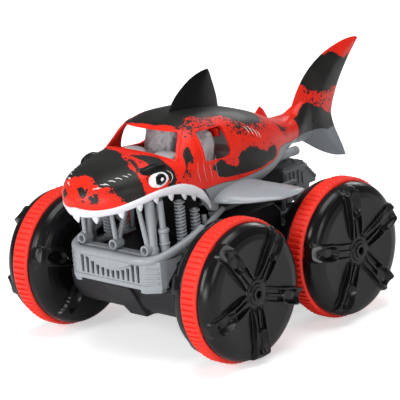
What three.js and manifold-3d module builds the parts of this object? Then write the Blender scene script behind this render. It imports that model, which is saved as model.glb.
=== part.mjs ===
// Shark-bodied amphibious stunt car, millimetres, +Z up.
// The nose points to -Y and the car's left side is +X. The origin sits on the
// ground under the middle of the overall bounding box, so every dimension along
// the car is given from the middle of the wheelbase and shifted once by SHIFT_Y.
import * as THREE from 'three';
import { mergeVertices } from 'three/addons/utils/BufferGeometryUtils.js';
import Module from 'manifold-3d';

const wasm = await Module();
wasm.setup();

// ---------------------------------------------------------------- dimensions
const SHIFT_Y = -31.62;        // wheelbase middle from the origin
const GAP = 0.3;               // fitting gap between mouldings
const RUN = 0.35;              // running clearance round shafts
const SKIN = 1.8;              // wall of the body mouldings

// gear tooth forms: rise and depth from the pitch circle, face from inner to outer X
const COARSE = { module: 2.25, rise: 1.7, depth: 2.25, backlash: 0.35, inner: 44, outer: 49 };
const FINE = { module: 1.2, rise: 0.95, depth: 1.25, backlash: 0.25, inner: 37.8, outer: 42.8 };
const TRAIN_TEETH = 12;        // output and idler gears, coarse
const SMALL_TEETH = 8;         // compound small gear, coarse
const BIG_TEETH = 18;          // compound large gear, fine
const PINION_TEETH = 8;        // motor pinion, fine

const WHEEL_R = 50;            // outside radius of the tread
const AXLE_Z = WHEEL_R;
const IDLER_STEP = TRAIN_TEETH * COARSE.module;   // spacing of the train gears
const AXLE_Y = 2 * IDLER_STEP;                    // half the wheelbase
const COMPOUND_Z = AXLE_Z + (TRAIN_TEETH + SMALL_TEETH) * COARSE.module / 2;
const MOTOR_Y = (BIG_TEETH + PINION_TEETH) * FINE.module / 2;
const TRACK_X = 80.5;          // tread centre from the middle of the car

const SHAFT_R = 3;             // output shaft
const SHAFT_BORE = SHAFT_R + RUN;
const PIN_R = 2.5;             // idler and compound pins
const PIN_BORE = PIN_R + RUN;
const SHAFT_START = 34.6;      // inner end of shafts and pins
const PIN_END = 51;

const HULL_X = 51.4;           // half width of the hull
const HULL_WALL = 1.8;
const HULL_TOP = 68.6;         // top of the gear pods
const STAND_Z = HULL_TOP + GAP;   // foot height of what stands on the pods
const SPLIT_Z = AXLE_Z;        // split of the two hull halves

// ------------------------------------------------------------------ materials
const finish = (look) => () => new THREE.MeshStandardMaterial(look);
const redPaint = finish({ color: 0xe8301f, roughness: 0.42 });
const blackPlastic = finish({ color: 0x1b1b1d, roughness: 0.45 });
const greyPlastic = finish({ color: 0x7f858b, roughness: 0.5 });
const palePlastic = finish({ color: 0xa9afb5, roughness: 0.35 });
const whitePlastic = finish({ color: 0xe9ebee, roughness: 0.4 });
const darkPlastic = finish({ color: 0x4a4d51, roughness: 0.6 });
const hullPlastic = finish({ color: 0x2d2d32, roughness: 0.5 });
const glossBlack = finish({ color: 0x111113, roughness: 0.2 });
const treadRed = finish({ color: 0xe62a1c, roughness: 0.55 });
const steel = finish({ color: 0xb8bcc0, roughness: 0.3, metalness: 1 });
const gearPlastic = finish({ color: 0xe6e2d6, roughness: 0.5 });
const boardGreen = finish({ color: 0x1f6a3a, roughness: 0.6 });
const cellBlue = finish({ color: 0x2458a8, roughness: 0.4 });
const rubber = finish({ color: 0x222222, roughness: 0.8 });

// ------------------------------------------------------------ geometry helpers
function toSolid(geometry) {
  for (const name of Object.keys(geometry.attributes)) {
    if (name !== 'position') geometry.deleteAttribute(name);
  }
  const merged = mergeVertices(geometry, 1e-4);
  return new wasm.Manifold(new wasm.Mesh({
    numProp: 3,
    vertProperties: new Float32Array(merged.attributes.position.array),
    triVerts: new Uint32Array(merged.index.array),
  }));
}

// solid from an indexed geometry whose faces may all point inward
function outwardSolid(geometry) {
  const solid = toSolid(geometry);
  if (solid.volume() > 0) return solid;
  geometry.index.array.reverse();
  return toSolid(geometry);
}

// mirror swaps the car's left and right
function toGeometry(solid, mirror) {
  const mesh = solid.getMesh();
  const position = Float32Array.from(mesh.vertProperties);
  const index = Array.from(mesh.triVerts);
  if (mirror) {
    for (let i = 0; i < position.length; i += 3) {
      position[i] = -position[i];
      [index[i + 1], index[i + 2]] = [index[i + 2], index[i + 1]];
    }
    for (let i = position.length; i < index.length; i += 3) {
      [index[i + 1], index[i + 2]] = [index[i + 2], index[i + 1]];
    }
    index.length = mesh.triVerts.length;
  }
  const geometry = new THREE.BufferGeometry();
  geometry.setAttribute('position', new THREE.BufferAttribute(position, 3));
  geometry.setIndex(index);
  geometry.computeVertexNormals();
  return geometry;
}

const join = (...solids) => solids.flat().reduce((whole, solid) => whole.add(solid));
const cut = (body, ...tools) => tools.flat().reduce((rest, tool) => rest.subtract(tool), body);
const bothSides = (make) => [make(1), make(-1)];
const sideSpan = (side, near, far) => (side > 0 ? [near, far] : [-far, -near]);
const polar = (radius, angle) => [radius * Math.cos(angle), radius * Math.sin(angle)];
const regularPolygon = (radius, count, phase = 0) =>
  Array.from({ length: count }, (_, i) => polar(radius, phase + 2 * Math.PI * i / count));
const shapeOf = (points) => new THREE.Shape(points.map(([x, y]) => new THREE.Vector2(x, y)));

function faceted(vertices, faces) {
  const geometry = new THREE.BufferGeometry();
  const position = new Float32Array(vertices.flat());
  geometry.setAttribute('position', new THREE.BufferAttribute(position, 3));
  geometry.setIndex(faces.flat());
  return outwardSolid(geometry);
}

function box(x0, x1, y0, y1, z0, z1) {
  const geometry = new THREE.BoxGeometry(x1 - x0, y1 - y0, z1 - z0);
  geometry.translate((x0 + x1) / 2, (y0 + y1) / 2, (z0 + z1) / 2);
  return toSolid(geometry);
}

// outline pushed along an axis: [Y, Z] for 'x', [-X, Z] for 'y', [X, Y] for 'z'
function prism(points, axis, start, end) {
  const options = { depth: end - start, bevelEnabled: false };
  const geometry = new THREE.ExtrudeGeometry(shapeOf(points), options);
  geometry.translate(0, 0, start);
  const turn = new THREE.Matrix4();
  if (axis === 'x') turn.set(0, 0, 1, 0, 1, 0, 0, 0, 0, 1, 0, 0, 0, 0, 0, 1);
  else if (axis === 'y') turn.set(-1, 0, 0, 0, 0, 0, 1, 0, 0, 1, 0, 0, 0, 0, 0, 1);
  geometry.applyMatrix4(turn);
  return toSolid(geometry);
}

// turned profile of [along X, radius] pairs, closed on itself
function turned(profile, segments, phase = 0) {
  const points = profile.map(([x, radius]) => new THREE.Vector2(radius, x));
  if (points[0].x > 1e-6) points.push(points[0].clone());
  const geometry = new THREE.LatheGeometry(points, segments);
  geometry.rotateY(phase);
  geometry.rotateZ(-Math.PI / 2);
  return outwardSolid(geometry);
}
const rod = (x0, x1, radius, segments) =>
  turned([[x0, 0], [x0, radius], [x1, radius], [x1, 0]], segments);

// bore, drawn round the outside of its circle so a shaft of the same facets clears
const bore = ([x0, x1], radius, y, z, segments) =>
  rod(x0, x1, radius / Math.cos(Math.PI / segments), segments).translate([0, y, z]);

// round bar between two points
function bar(from, to, radius, segments = 8) {
  const start = new THREE.Vector3(...from);
  const end = new THREE.Vector3(...to);
  const along = end.clone().sub(start);
  const geometry = new THREE.CylinderGeometry(radius, radius, along.length(), segments);
  geometry.rotateY(Math.PI / segments);
  const up = new THREE.Vector3(0, 1, 0);
  const turn = new THREE.Quaternion().setFromUnitVectors(up, along.normalize());
  geometry.applyQuaternion(turn);
  geometry.translate((start.x + end.x) / 2, (start.y + end.y) / 2, (start.z + end.z) / 2);
  return toSolid(geometry);
}

// bent tube along a smooth path
function tube(points, radius, steps, segments) {
  const extrudePath = new THREE.CatmullRomCurve3(points.map((p) => new THREE.Vector3(...p)));
  const shape = shapeOf(regularPolygon(radius, segments, Math.PI / segments));
  return toSolid(new THREE.ExtrudeGeometry(shape, { steps, extrudePath, bevelEnabled: false }));
}

// closed surface through rings of equal length, ends closed flat
function loft(rings) {
  const count = rings[0].length;
  const last = (rings.length - 1) * count;
  const faces = [];
  for (let i = 0; i < rings.length - 1; i++) {
    for (let j = 0; j < count; j++) {
      const here = i * count + j;
      const next = i * count + (j + 1) % count;
      const above = here + count;
      const nextAbove = next + count;
      // the diagonals lean opposite ways on the two sides
      if (j < count / 2) faces.push([here, next, nextAbove], [here, nextAbove, above]);
      else faces.push([here, next, above], [next, nextAbove, above]);
    }
  }
  for (let j = 1; j < count - 1; j++) faces.push([0, j + 1, j], [last, last + j, last + j + 1]);
  return faceted(rings.flat(), faces);
}

// thin upright fin; rows run tip to root:
// leading edge y, z, trailing edge y, z, half thickness
const FIN_STEPS = 3;           // facets from leading to trailing edge
const FIN_FULLNESS = 0.8;      // power on the sine swelling, lower is fuller
function fin(rows) {
  const vertices = [];
  const faces = [];
  const ids = new Map();
  // the two sides share their points along the tip and both edges
  const point = (row, step, side) => {
    const edge = row === 0 || step === 0 || step === FIN_STEPS;
    const key = `${row},${step},${edge ? 0 : side}`;
    if (!ids.has(key)) {
      const [leadY, leadZ, trailY, trailZ, half] = rows[row];
      const part = step / FIN_STEPS;
      const x = edge ? 0 : side * half * Math.sin(Math.PI * part) ** FIN_FULLNESS;
      ids.set(key, vertices.length);
      vertices.push([x, leadY + (trailY - leadY) * part, leadZ + (trailZ - leadZ) * part]);
    }
    return ids.get(key);
  };
  const quad = (first, second, third, fourth) => {
    for (const face of [[first, second, third], [first, third, fourth]]) {
      if (new Set(face).size === 3) faces.push(face);
    }
  };
  const root = rows.length - 1;
  for (let step = 0; step < FIN_STEPS; step++) {
    for (let row = 0; row < root; row++) {
      for (const side of [1, -1]) {
        const start = point(row, step, side);
        const across = point(row, step + 1, side);
        const far = point(row + 1, step + 1, side);
        const down = point(row + 1, step, side);
        if (side > 0) quad(start, across, far, down);
        else quad(start, down, far, across);
      }
    }
    quad(point(root, step, 1), point(root, step + 1, 1),
      point(root, step + 1, -1), point(root, step, -1));
  }
  return faceted(vertices, faces);
}

// ------------------------------------------------------------ the body surface
// y, half width, top, widest height, bottom, squareness of the upper and lower halves
const BODY = [
  [-119.5, 1, 118, 116, 112, 2, 2], [-118, 9, 122, 116, 110, 2.1, 2],
  [-114, 17, 127, 116, 107, 2.2, 2], [-107, 24.5, 132, 117, 104, 2.3, 2.2],
  [-98, 30, 135.5, 118, 100, 2.4, 2.4], [-85, 35, 138, 118, 97, 2.4, 2.6],
  [-70, 38.5, 140.5, 117, 95, 2.5, 2.8], [-56, 40.5, 142, 115, 94, 2.6, 3],
  [-47, 41.3, 148, 113, 93, 2.9, 3], [-38, 42, 154, 111, 93, 3.2, 3],
  [-22, 42, 157, 109, 92, 3.3, 2.6], [0, 42, 155.5, 107, 91, 3.3, 2.2],
  [20, 40.5, 151.5, 107, 91, 3.2, 2], [40, 36.5, 145, 108, 93, 3, 2],
  [58, 30, 137.5, 110, 97, 2.7, 2], [75, 21.5, 129.5, 112, 100.5, 2.4, 2],
  [90, 14.5, 126, 114, 103, 2.2, 2], [97, 12.5, 126, 115, 104, 2.1, 2],
  [107, 11.5, 126, 115, 104, 2.1, 2],
];
// y of the rings drawn between the two ends of a body solid
const STATIONS = [-118, -112, -103, -92, -78, -64, -52, -44, -36, -22, 0, 20, 40, 58, 75, 90];
const BODY_FACETS = 16;

// monotone cubic through one column of a table whose first column is y
function smooth(table, column, y) {
  const last = table.length - 1;
  const span = [];
  const slope = [];
  for (let i = 0; i < last; i++) {
    span[i] = table[i + 1][0] - table[i][0];
    slope[i] = (table[i + 1][column] - table[i][column]) / span[i];
  }
  const tangent = [slope[0]];
  for (let i = 1; i < last; i++) {
    const before = 2 * span[i] + span[i - 1];
    const after = span[i] + 2 * span[i - 1];
    tangent[i] = slope[i - 1] * slope[i] > 0
      ? (before + after) / (before / slope[i - 1] + after / slope[i]) : 0;
  }
  tangent[last] = slope[last - 1];
  let k = 0;
  while (k < last - 1 && y > table[k + 1][0]) k++;
  const part = THREE.MathUtils.clamp((y - table[k][0]) / span[k], 0, 1);
  const rest = 1 - part;
  return (1 + 2 * part) * rest ** 2 * table[k][column]
    + part * rest ** 2 * span[k] * tangent[k]
    + part * part * (3 - 2 * part) * table[k + 1][column]
    + part * part * (part - 1) * span[k] * tangent[k + 1];
}
const bodySection = (y) => [1, 2, 3, 4, 5, 6].map((column) => smooth(BODY, column, y));

function bodyRing(y, inset) {
  const [bodyWidth, top, middle, bottom, upper, lower] = bodySection(y);
  const halfWidth = Math.max(0.4, bodyWidth - inset);
  return Array.from({ length: BODY_FACETS }, (_, j) => {
    const angle = 2 * Math.PI * j / BODY_FACETS;
    const sine = Math.sin(angle);
    const cosine = Math.cos(angle);
    const power = 2 / (cosine >= 0 ? upper : lower);
    const reach = cosine >= 0 ? top - inset - middle : -(middle - bottom - inset);
    return [
      halfWidth * Math.sign(sine) * Math.abs(sine) ** power,
      y,
      middle + reach * Math.abs(cosine) ** power,
    ];
  });
}
function bodySolid(inset, y0, y1) {
  const between = STATIONS.filter((y) => y > y0 + 1 && y < y1 - 1);
  return loft([y0, ...between, y1].map((y) => bodyRing(y, inset)));
}

// side-view lines of [y, z]: foot of the painted shell, and the edges of the lip strip
const SHELL_FOOT = [
  [-126, 115.3], [-120.6, 115.3], [-117, 112.7], [-108, 113.8], [-92.5, 116.6],
  [-81.4, 119], [-65.6, 118.9], [-53.4, 116.5], [-41, 112.3], [-36, 110.9],
  [-22.5, 110.9], [0.5, 108.8], [25.4, 108.9], [46.5, 111], [56, 116],
  [70, 114.5], [85, 111.5], [112, 109],
];
const belowFoot = (first, end) => SHELL_FOOT.slice(first, end).map(([y, z]) => [y, z - GAP]);
const LIP_TOP = [...belowFoot(0, 9), [-36.4, 109.8], [-33, 105], [-29.6, 94.8]];
const LIP_FOOT = [
  [-126, 110], [-119.8, 110], [-115, 106.4], [-105.6, 108.6], [-93, 110.9],
  [-82, 113.1], [-70, 113.1], [-54, 109.7], [-42, 103.2], [-34, 96],
];

const bodyInside = bodySolid(SKIN, -117.4, 99);
const bodyClearance = bodySolid(-GAP, -120, 97.3);
const shellWall = cut(bodySolid(0, -119.5, 97), bodyInside);
const aboveFoot = prism([...SHELL_FOOT, [112, 190], [-126, 190]], 'x', -70, 70);

// painted shell, with windscreen, door windows and quarter vents cut through
const WINDSCREEN_SIDE = [[-80, 150.3], [-62, 139.6], [-47, 130.6], [-20, 129], [-20, 150.3]];
const WINDSCREEN_FRONT = [[-36.5, 129], [36.5, 129], [25, 150.5], [-25, 150.5]];
const DOOR_WINDOW = [[-32.5, 149], [-8, 147.5], [-5.5, 128], [-32.5, 129.5]];
const QUARTER_VENT = [[-41, 142], [-49, 133.5], [-41, 132]];
function bodyShell() {
  const windscreen = prism(WINDSCREEN_SIDE, 'x', -60, 60)
    .intersect(prism(WINDSCREEN_FRONT, 'y', -90, -20));
  const vents = bothSides((side) => prism(QUARTER_VENT, 'x', ...sideSpan(side, 30, 60)));
  return cut(shellWall.intersect(aboveFoot), windscreen, prism(DOOR_WINDOW, 'x', -60, 60), vents);
}

// white lip strip with teeth; teeth are y, radius, height below the strip
const TEETH = [
  [-118, 2.6, 4.5], [-112, 2.6, 6.5], [-102, 2.4, 4.2], [-91, 2.4, 4],
  [-79, 2.3, 3.8], [-67, 2.4, 4.6], [-55, 2.3, 4], [-45, 2, 3.6],
];
const TOOTH_SINK = 1.2;        // part of a tooth buried in the strip
const TOOTH_FLATNESS = 0.55;   // thickness over width
function lipX(y, z) {
  const [halfWidth, , middle, bottom, , lower] = bodySection(y);
  const drop = THREE.MathUtils.clamp((middle - z) / (middle - bottom), 0, 0.96);
  return (halfWidth - 0.9) * (1 - drop ** lower) ** (1 / lower);
}
function tooth(side, y, radius, height) {
  const z = smooth(LIP_FOOT, 1, y);
  const x = lipX(y, z);
  const cone = new THREE.ConeGeometry(radius, height + TOOTH_SINK, 4);
  cone.rotateX(-Math.PI / 2);
  cone.scale(TOOTH_FLATNESS, 1, 1);
  cone.rotateZ(-side * Math.atan(lipX(y + 1, z) - x));
  cone.translate(side * (x - 0.4), y, z - height / 2 + TOOTH_SINK / 2);
  return toSolid(cone);
}
function jawTrim() {
  const outline = [...LIP_TOP, ...LIP_FOOT.toReversed()];
  const strip = cut(bodySolid(-0.8, -120.3, -20), bodySolid(2.6, -116.8, -10))
    .intersect(prism(outline, 'x', -70, 70));
  return join(strip, TEETH.flatMap((row) => bothSides((side) => tooth(side, ...row))));
}

// grey belly, with the two exhaust stubs
const BELLY_SIDE = [
  [-35.9, 110.6], ...belowFoot(10, 17), [97, 109.9],
  [97, 85], [-29, 85], [-29, 94.8], [-32.6, 105],
];
function bellyShell() {
  const stubs = bothSides((side) =>
    cut(bar([side * 24, 56, 106.5], [side * 23, 80, 106.3], 3.1, 10), bodyInside));
  const bores = bothSides((side) => bar([side * 23.2, 74, 106.35], [side * 23, 81, 106.3], 2, 8));
  const wall = shellWall.intersect(prism(BELLY_SIDE, 'x', -70, 70));
  return cut(join(wall, stubs), bores, aboveFoot);
}

// ------------------------------------------------------------------------ fins
const DORSAL = [
  [17.7, 178.4, 19.8, 178.2, 0], [10, 177.6, 21.5, 174.5, 1.2],
  [0, 174.8, 22.8, 170, 2], [-9, 170.2, 24.2, 165.5, 2.8],
  [-16, 165.4, 25.4, 161, 3.6], [-21, 160, 26.3, 157, 4.4],
  [-24, 154, 27, 151, 5], [-25, 147, 27.4, 146, 5],
];
const REAR_DORSAL = [
  [69.5, 138.4, 70.6, 138.3, 0], [67, 136.6, 74, 135.6, 0.9],
  [64.5, 134.4, 76, 132.5, 1.6], [62, 131.8, 77.8, 129.4, 2.2], [60, 126, 79, 124, 2.6],
];
const TAIL_UPPER = [
  [183.4, 164.8, 183.6, 164.2, 0], [179.9, 166.2, 179.5, 160.2, 0.9],
  [171, 166.6, 173, 154, 1.7], [162, 165.8, 167.4, 148, 2.4],
  [150.5, 163.6, 161.8, 141.4, 3.1], [139.8, 160.4, 157.6, 135.6, 3.8],
  [129, 155.2, 154.3, 130.1, 4.4], [120, 149, 151.4, 124.5, 4.9],
  [112.5, 141.5, 149.2, 119, 5.3], [106, 132.5, 148, 113, 5.6], [101.5, 124, 149, 106, 5.6],
];
const TAIL_LOWER = [
  [161, 79.6, 161.8, 80, 0], [151, 81.9, 159.6, 86, 0.9],
  [143, 85, 157, 91.5, 1.7], [135, 88.8, 154.4, 97, 2.6],
  [127, 93.4, 151.8, 102.5, 3.6], [119, 98.6, 149.6, 108.5, 4.6],
  [111, 104, 148.4, 114, 5.4], [104, 112, 148.6, 121, 5.6],
];
// y, half width, bottom, top
const TAIL_ROOT = [
  [97.4, 12.5, 104, 126], [101, 11.6, 103.4, 126.6], [107, 9.6, 102.6, 129.5],
  [114, 7.2, 102, 133], [122, 4.6, 101.6, 136], [132, 2, 102, 136],
];
const TAIL_Z = 115;            // centre of the round tail plug
const PLUG_R = 7.4;
const PLUG_BORE = 5.4;
const ovalRing = (count, y, halfWidth, bottom, top) => Array.from({ length: count }, (_, j) => {
  const angle = 2 * Math.PI * j / count;
  return [halfWidth * Math.sin(angle), y,
    (bottom + top) / 2 + (top - bottom) / 2 * Math.cos(angle)];
});
function tailFin() {
  const root = loft(TAIL_ROOT.map((row) => ovalRing(14, ...row)));
  const plug = loft([90, 97.9].map((y) =>
    ovalRing(10, y, PLUG_R, TAIL_Z - PLUG_R, TAIL_Z + PLUG_R)));
  return cut(join(fin(TAIL_UPPER), fin(TAIL_LOWER), root, plug),
    bar([0, 89, TAIL_Z], [0, 110, TAIL_Z], PLUG_BORE, 10));
}

// flattened ovals from root to tip: x, leading y, trailing y, z, swell above, swell below
const PECTORAL = [
  [33, -27, 17, 98.6, 9.6, 3.4], [42, -26.5, 16, 98.6, 9, 3.4],
  [50, -24.5, 19, 98.4, 6.4, 2.8], [58, -20.5, 23, 98.5, 4.6, 2.4],
  [66, -14.5, 26, 98.7, 3.4, 2], [73, -6.5, 26.5, 99, 2.5, 1.6],
  [78, 3, 23.5, 99.2, 1.7, 1.2], [80.6, 10, 18, 99.3, 0.9, 0.7],
];
function pectoralFin() {
  const rings = PECTORAL.map(([x, y0, y1, z, up, down]) => Array.from({ length: 12 }, (_, j) => {
    const [along, rise] = polar(1, 2 * Math.PI * j / 12);
    return [x, (y0 + y1) / 2 + (y1 - y0) / 2 * along, z + (rise > 0 ? up : down) * rise];
  }));
  return cut(loft(rings), bodyClearance);
}

// cabin tub with dashboard, two seats and a bench
const SEAT_X = 16.5;
const DASHBOARD = [[-54, 116], [-42, 116], [-43, 128], [-52, 131], [-54, 131]];
const SEAT_BACK = [[-20, 117], [-12, 117], [-7, 143], [-12, 145], [-16, 141]];
const BENCH_BACK = [[14, 117], [23, 117], [22, 138], [18, 139]];
function seat(side) {
  const x = side * SEAT_X;
  return join(
    box(x - 10, x + 10, -38, -16, 117, 123),
    prism(SEAT_BACK, 'x', x - 9.5, x + 9.5));
}
const cabinInterior = () => join(
  box(-34, 34, -54, 24, 114, 117.5),
  prism(DASHBOARD, 'x', -31, 31),
  bothSides(seat),
  box(-30, 30, 2, 18, 117, 124),
  prism(BENCH_BACK, 'x', -29, 29));

// -------------------------------------------------------------------- chassis
// left half of the bumper tube, back to front
const TUBE_LEFT = [
  [42.5, -36.5, 90.6], [43.2, -46, 87.2], [43, -60, 82.6], [41.5, -75, 78.2],
  [37.5, -86.5, 75], [29, -91.6, 74.2], [14, -92.6, 74.4],
];
// left half of the bumper face in plan
const FACE_LEFT = [
  [33, -92.6], [42.2, -86.5], [43.4, -82], [43.4, -74.2],
  [41.6, -74.2], [41.6, -81.5], [40.8, -85.2], [32.4, -90.6],
];
const SHELF = [[36, -89.5], [41, -84], [41, -78], [-41, -78], [-41, -84], [-36, -89.5]];
const SLOT_PITCH = 6.4;
const withMirror = (half) => [...half, ...half.map(([x, ...rest]) => [-x, ...rest]).reverse()];

// front bumper: bent tube, slotted face, ribbed corners and a shelf
function frontBumper() {
  const slots = [];
  for (let i = -4; i <= 4; i++) {
    const x = i * SLOT_PITCH;
    const top = Math.abs(i) > 2 ? 69 : 66;
    slots.push(prism([[x - 1.9, 58], [x + 1.9, 58], [x + 2.1, top], [x - 2.1, top]], 'y', -95, -88));
  }
  const cornerRibs = [58.5, 62, 65.5].flatMap((z) => bothSides((side) =>
    bar([side * 33.8, -92.2, z], [side * 40.6, -87.7, z], 0.9, 4)));
  return join(
    tube(withMirror(TUBE_LEFT), 3, 26, 6),
    cut(prism(withMirror(FACE_LEFT), 'z', 53.6, 73), slots),
    cornerRibs,
    prism(SHELF, 'z', 70.5, 72.2));
}

// cage behind the bumper: foot bar, three short tubes, rising struts, palate
const PALATE_LEFT = [
  [12, -106], [21, -99], [26.5, -91], [30.5, -81], [32.5, -66], [33.5, -52], [33, -46],
];
function frontCage() {
  const tubes = [-30, 0, 30].map((x) => cut(join(
    bar([x, -87.4, 79], [x, -80, 79], 3.3),
    bar([x, -84, 79], [x * 0.9, -88, 112.3], 1.6, 4),
    bar([x, -83, 80], [x * 0.93, -66, 112.3], 1.6, 4)), bar([x, -89, 79], [x, -84.5, 79], 2.2)));
  return join(
    box(-32, 32, -86, -80, 72.6, 75.8),
    tubes,
    bothSides((side) => bar([side * 31.5, -81, 74], [side * 31.5 * 0.92, -78.5, 112.6], 3.4)),
    prism([[0, -109], ...withMirror(PALATE_LEFT)], 'z', 112, 113.8));
}

// upright post with three collars
function collaredPost(x, y, z0, z1, radius) {
  const collars = [0, 0.5, 1].map((part) => {
    const z = z0 + 3 + (z1 - z0 - 7) * part;
    return bar([x, y, z - 2], [x, y, z + 2], radius, 6);
  });
  return join(bar([x, y, z0], [x, y, z1], radius * 0.72, 6), collars);
}

// struts along the left side of the mouth, stood on a foot rail
const strutSet = join(
  box(32.5, 38.5, -70.5, -31, STAND_Z, STAND_Z + 3),
  box(32.5, 38.5, -77, -69, STAND_Z + 0.6, STAND_Z + 3),
  bar([35.4, -73, 71], [33.6, -73, 111.6], 2.2, 6),
  bar([35.4, -73, 71], [34.6, -73, 91], 3.1, 6),
  collaredPost(35.2, -56, 71, 107.4, 3.3),
  collaredPost(34.6, -41, 71, 97.6, 3.1),
  bar([36, -33, 70], [34, -31.5, 90], 1.8, 4));

// left truss between the hull and the belly; bars are top y, foot y
const TRUSS_BARS = [[-25, -25], [-25, -19.5], [33, 33], [33, 47], [47, 47], [63, 47], [63, 63]];
const sideFrame = join(
  box(33.5, 37.5, -27, 64, 88.2, 91),
  TRUSS_BARS.map(([top, foot]) => bar([35.5, top, 90], [35.5, foot, STAND_Z + 1.6], 1.7, 4)),
  box(33, 38, -29, -17, STAND_Z, STAND_Z + 2.4),
  box(33, 38, 30.5, 66, STAND_Z, STAND_Z + 2.4));

// sloping deck behind the belly, on two legs, with a row of blocks on top
const DECK_SIDE = [[66, 84], [66, 96.5], [84, 97], [98.5, 83], [98.5, 79], [72, 79]];
const rearDeck = () => join(
  prism(DECK_SIDE, 'x', -24, 24),
  bothSides((side) => box(...sideSpan(side, 17, 22), 68, 74, STAND_Z, 85)),
  [-20, -12, -4, 4, 12, 20].map((x) => box(x - 1.8, x + 1.8, 82, 84.5, 95, 98.4)));

// ------------------------------------------------------------------------ hull
// side outlines of the hull and of the pod over the compound gears
const HULL_SIDE = [
  [-72, HULL_TOP], [-73.5, 52.9], [-80.7, 52.9], [-81, 50], [-79.2, 40], [-73, 31],
  [-65, 25.4], [-54, 23], [54, 23], [65, 25.4], [73, 31], [79.2, 40], [81, 50],
  [79.5, 60], [75, HULL_TOP],
];
const INSIDE_TOP = HULL_TOP - HULL_WALL;
const HULL_INSIDE = [
  [-70, INSIDE_TOP], [-71.5, 51], [-78.8, 49], [-77.4, 41], [-71.5, 32.6], [-64, 27.4],
  [-54, 26], [54, 26], [64, 27.4], [71.5, 32.6], [77.4, 41], [79, 50], [77.6, 59.4],
  [73.6, INSIDE_TOP],
];
const POD_SIDE = [[-16, 60], [-16, 80], [-9, 87], [22, 87], [29, 80], [29, 60]];
const POD_INSIDE = [[-14.2, 60], [-14.2, 79.4], [-8.2, 85.2], [21.2, 85.2], [27.2, 79.4], [27.2, 60]];
// tapered block under the front of the hull: four top corners, then four bottom
const PROW_CORNERS = [
  [-14, -91, 52.4], [14, -91, 52.4], [14, -60, 52.4], [-14, -60, 52.4],
  [-8, -69, 22.4], [8, -69, 22.4], [8, -50, 22.4], [-8, -50, 22.4],
];
const PROW_FACES = [
  [0, 1, 2], [0, 2, 3], [4, 6, 5], [4, 7, 6], [0, 5, 1], [0, 4, 5],
  [1, 6, 2], [1, 5, 6], [2, 7, 3], [2, 6, 7], [3, 4, 0], [3, 7, 4],
];
const COVER_Y = [-48, 25];     // recess for the battery cover, front and back
const COVER_X = 18;            // its half width
const SCREW_Y = 20.5;          // battery cover screw

function boredHull() {
  const across = [-HULL_X, HULL_X];
  const acrossInside = [-HULL_X + HULL_WALL, HULL_X - HULL_WALL];
  const outside = join(
    prism(HULL_SIDE, 'x', ...across),
    faceted(PROW_CORNERS, PROW_FACES),
    prism(POD_SIDE, 'x', ...across));
  const inside = join(
    prism(HULL_INSIDE, 'x', ...acrossInside),
    prism(POD_INSIDE, 'x', ...acrossInside));
  const bearingRibs = bothSides((side) => {
    const rib = sideSpan(side, 34, 36.6);
    return join(box(...rib, -69, 70, 25, HULL_TOP - 1), box(...rib, -10, 23, 60, 86));
  });
  const bores = bothSides((side) => {
    const through = sideSpan(side, 33, 53);
    return [
      ...[-AXLE_Y, AXLE_Y].map((y) => bore(through, SHAFT_BORE, y, AXLE_Z, 8)),
      ...[-IDLER_STEP, 0, IDLER_STEP].map((y) => bore(through, PIN_BORE, y, AXLE_Z, 6)),
      bore(through, PIN_BORE, 0, COMPOUND_Z, 6),
      bore(sideSpan(side, 33, 37.2), 2, MOTOR_Y, COMPOUND_Z, 6),
    ];
  });
  return cut(join(cut(outside, inside), bearingRibs), bores.flat());
}
const upright = (y, z0, z1, radius, segments) => bar([0, y, z0], [0, y, z1], radius, segments);
const hull = boredHull();
const hullLower = () => cut(
  join(hull, upright(SCREW_Y, 25, 33, 4, 10)).intersect(box(-80, 80, -120, 120, 0, SPLIT_Z)),
  box(-16, 16, -46, 16, 20, 30),
  box(-COVER_X, COVER_X, ...COVER_Y, 20, 24.7),
  upright(SCREW_Y, 20, 31, 1.7, 8),
  box(-2.4, 2.4, 36, 44, 20, 30));
const hullUpper = () => hull.intersect(box(-80, 80, -120, 120, SPLIT_Z + GAP, 120));

const batteryCover = () => cut(
  box(-COVER_X + GAP, COVER_X - GAP, COVER_Y[0] + GAP, COVER_Y[1] - GAP, 23.1, 24.4),
  upright(SCREW_Y, 20, 30, 1.8, 8));
const coverScrew = () => join(
  upright(SCREW_Y, 21.6, 22.8, 3, 10),
  upright(SCREW_Y, 22.4, 30.4, 1.4, 8));
const batteryPack = () => join(
  box(-15, 15, -45, 13, 26.4, 45.6),
  box(-6, 6, 12.5, 15.5, 32, 40));
// circuit board with three components, on four posts
const receiverBoard = () => join(
  box(-13, 13, -44, 4, 52, 53.6),
  box(-5, 5, -30, -20, 53.2, 55.6),
  box(-10, -3, -12, -4, 53.2, 57),
  box(4, 10, -10, 0, 53.2, 56),
  [-42, 2].flatMap((y) => bothSides((side) =>
    bar([side * 11, y, 46], [side * 11, y, 52.4], 1.4, 6))));
const switchBody = () => join(
  box(-5, 5, 31, 49, 27.8, 33),
  box(-5, 5, 31, 32.7, 26.3, 28),
  box(-5, 5, 47.3, 49, 26.3, 28));
const switchKnob = () => join(
  box(-2, 2, 38.5, 41.5, 22.3, 26.8),
  box(-4, 4, 35, 45, 26.3, 27.4));

// ------------------------------------------------------------------ gear train
const PRESSURE_ANGLE = 0.349;  // radians
const TIP_TAPER = 1.25;        // how much of the flank slope shows at the tip
const ROOT_TAPER = 0.7;        // and at the root

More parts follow.
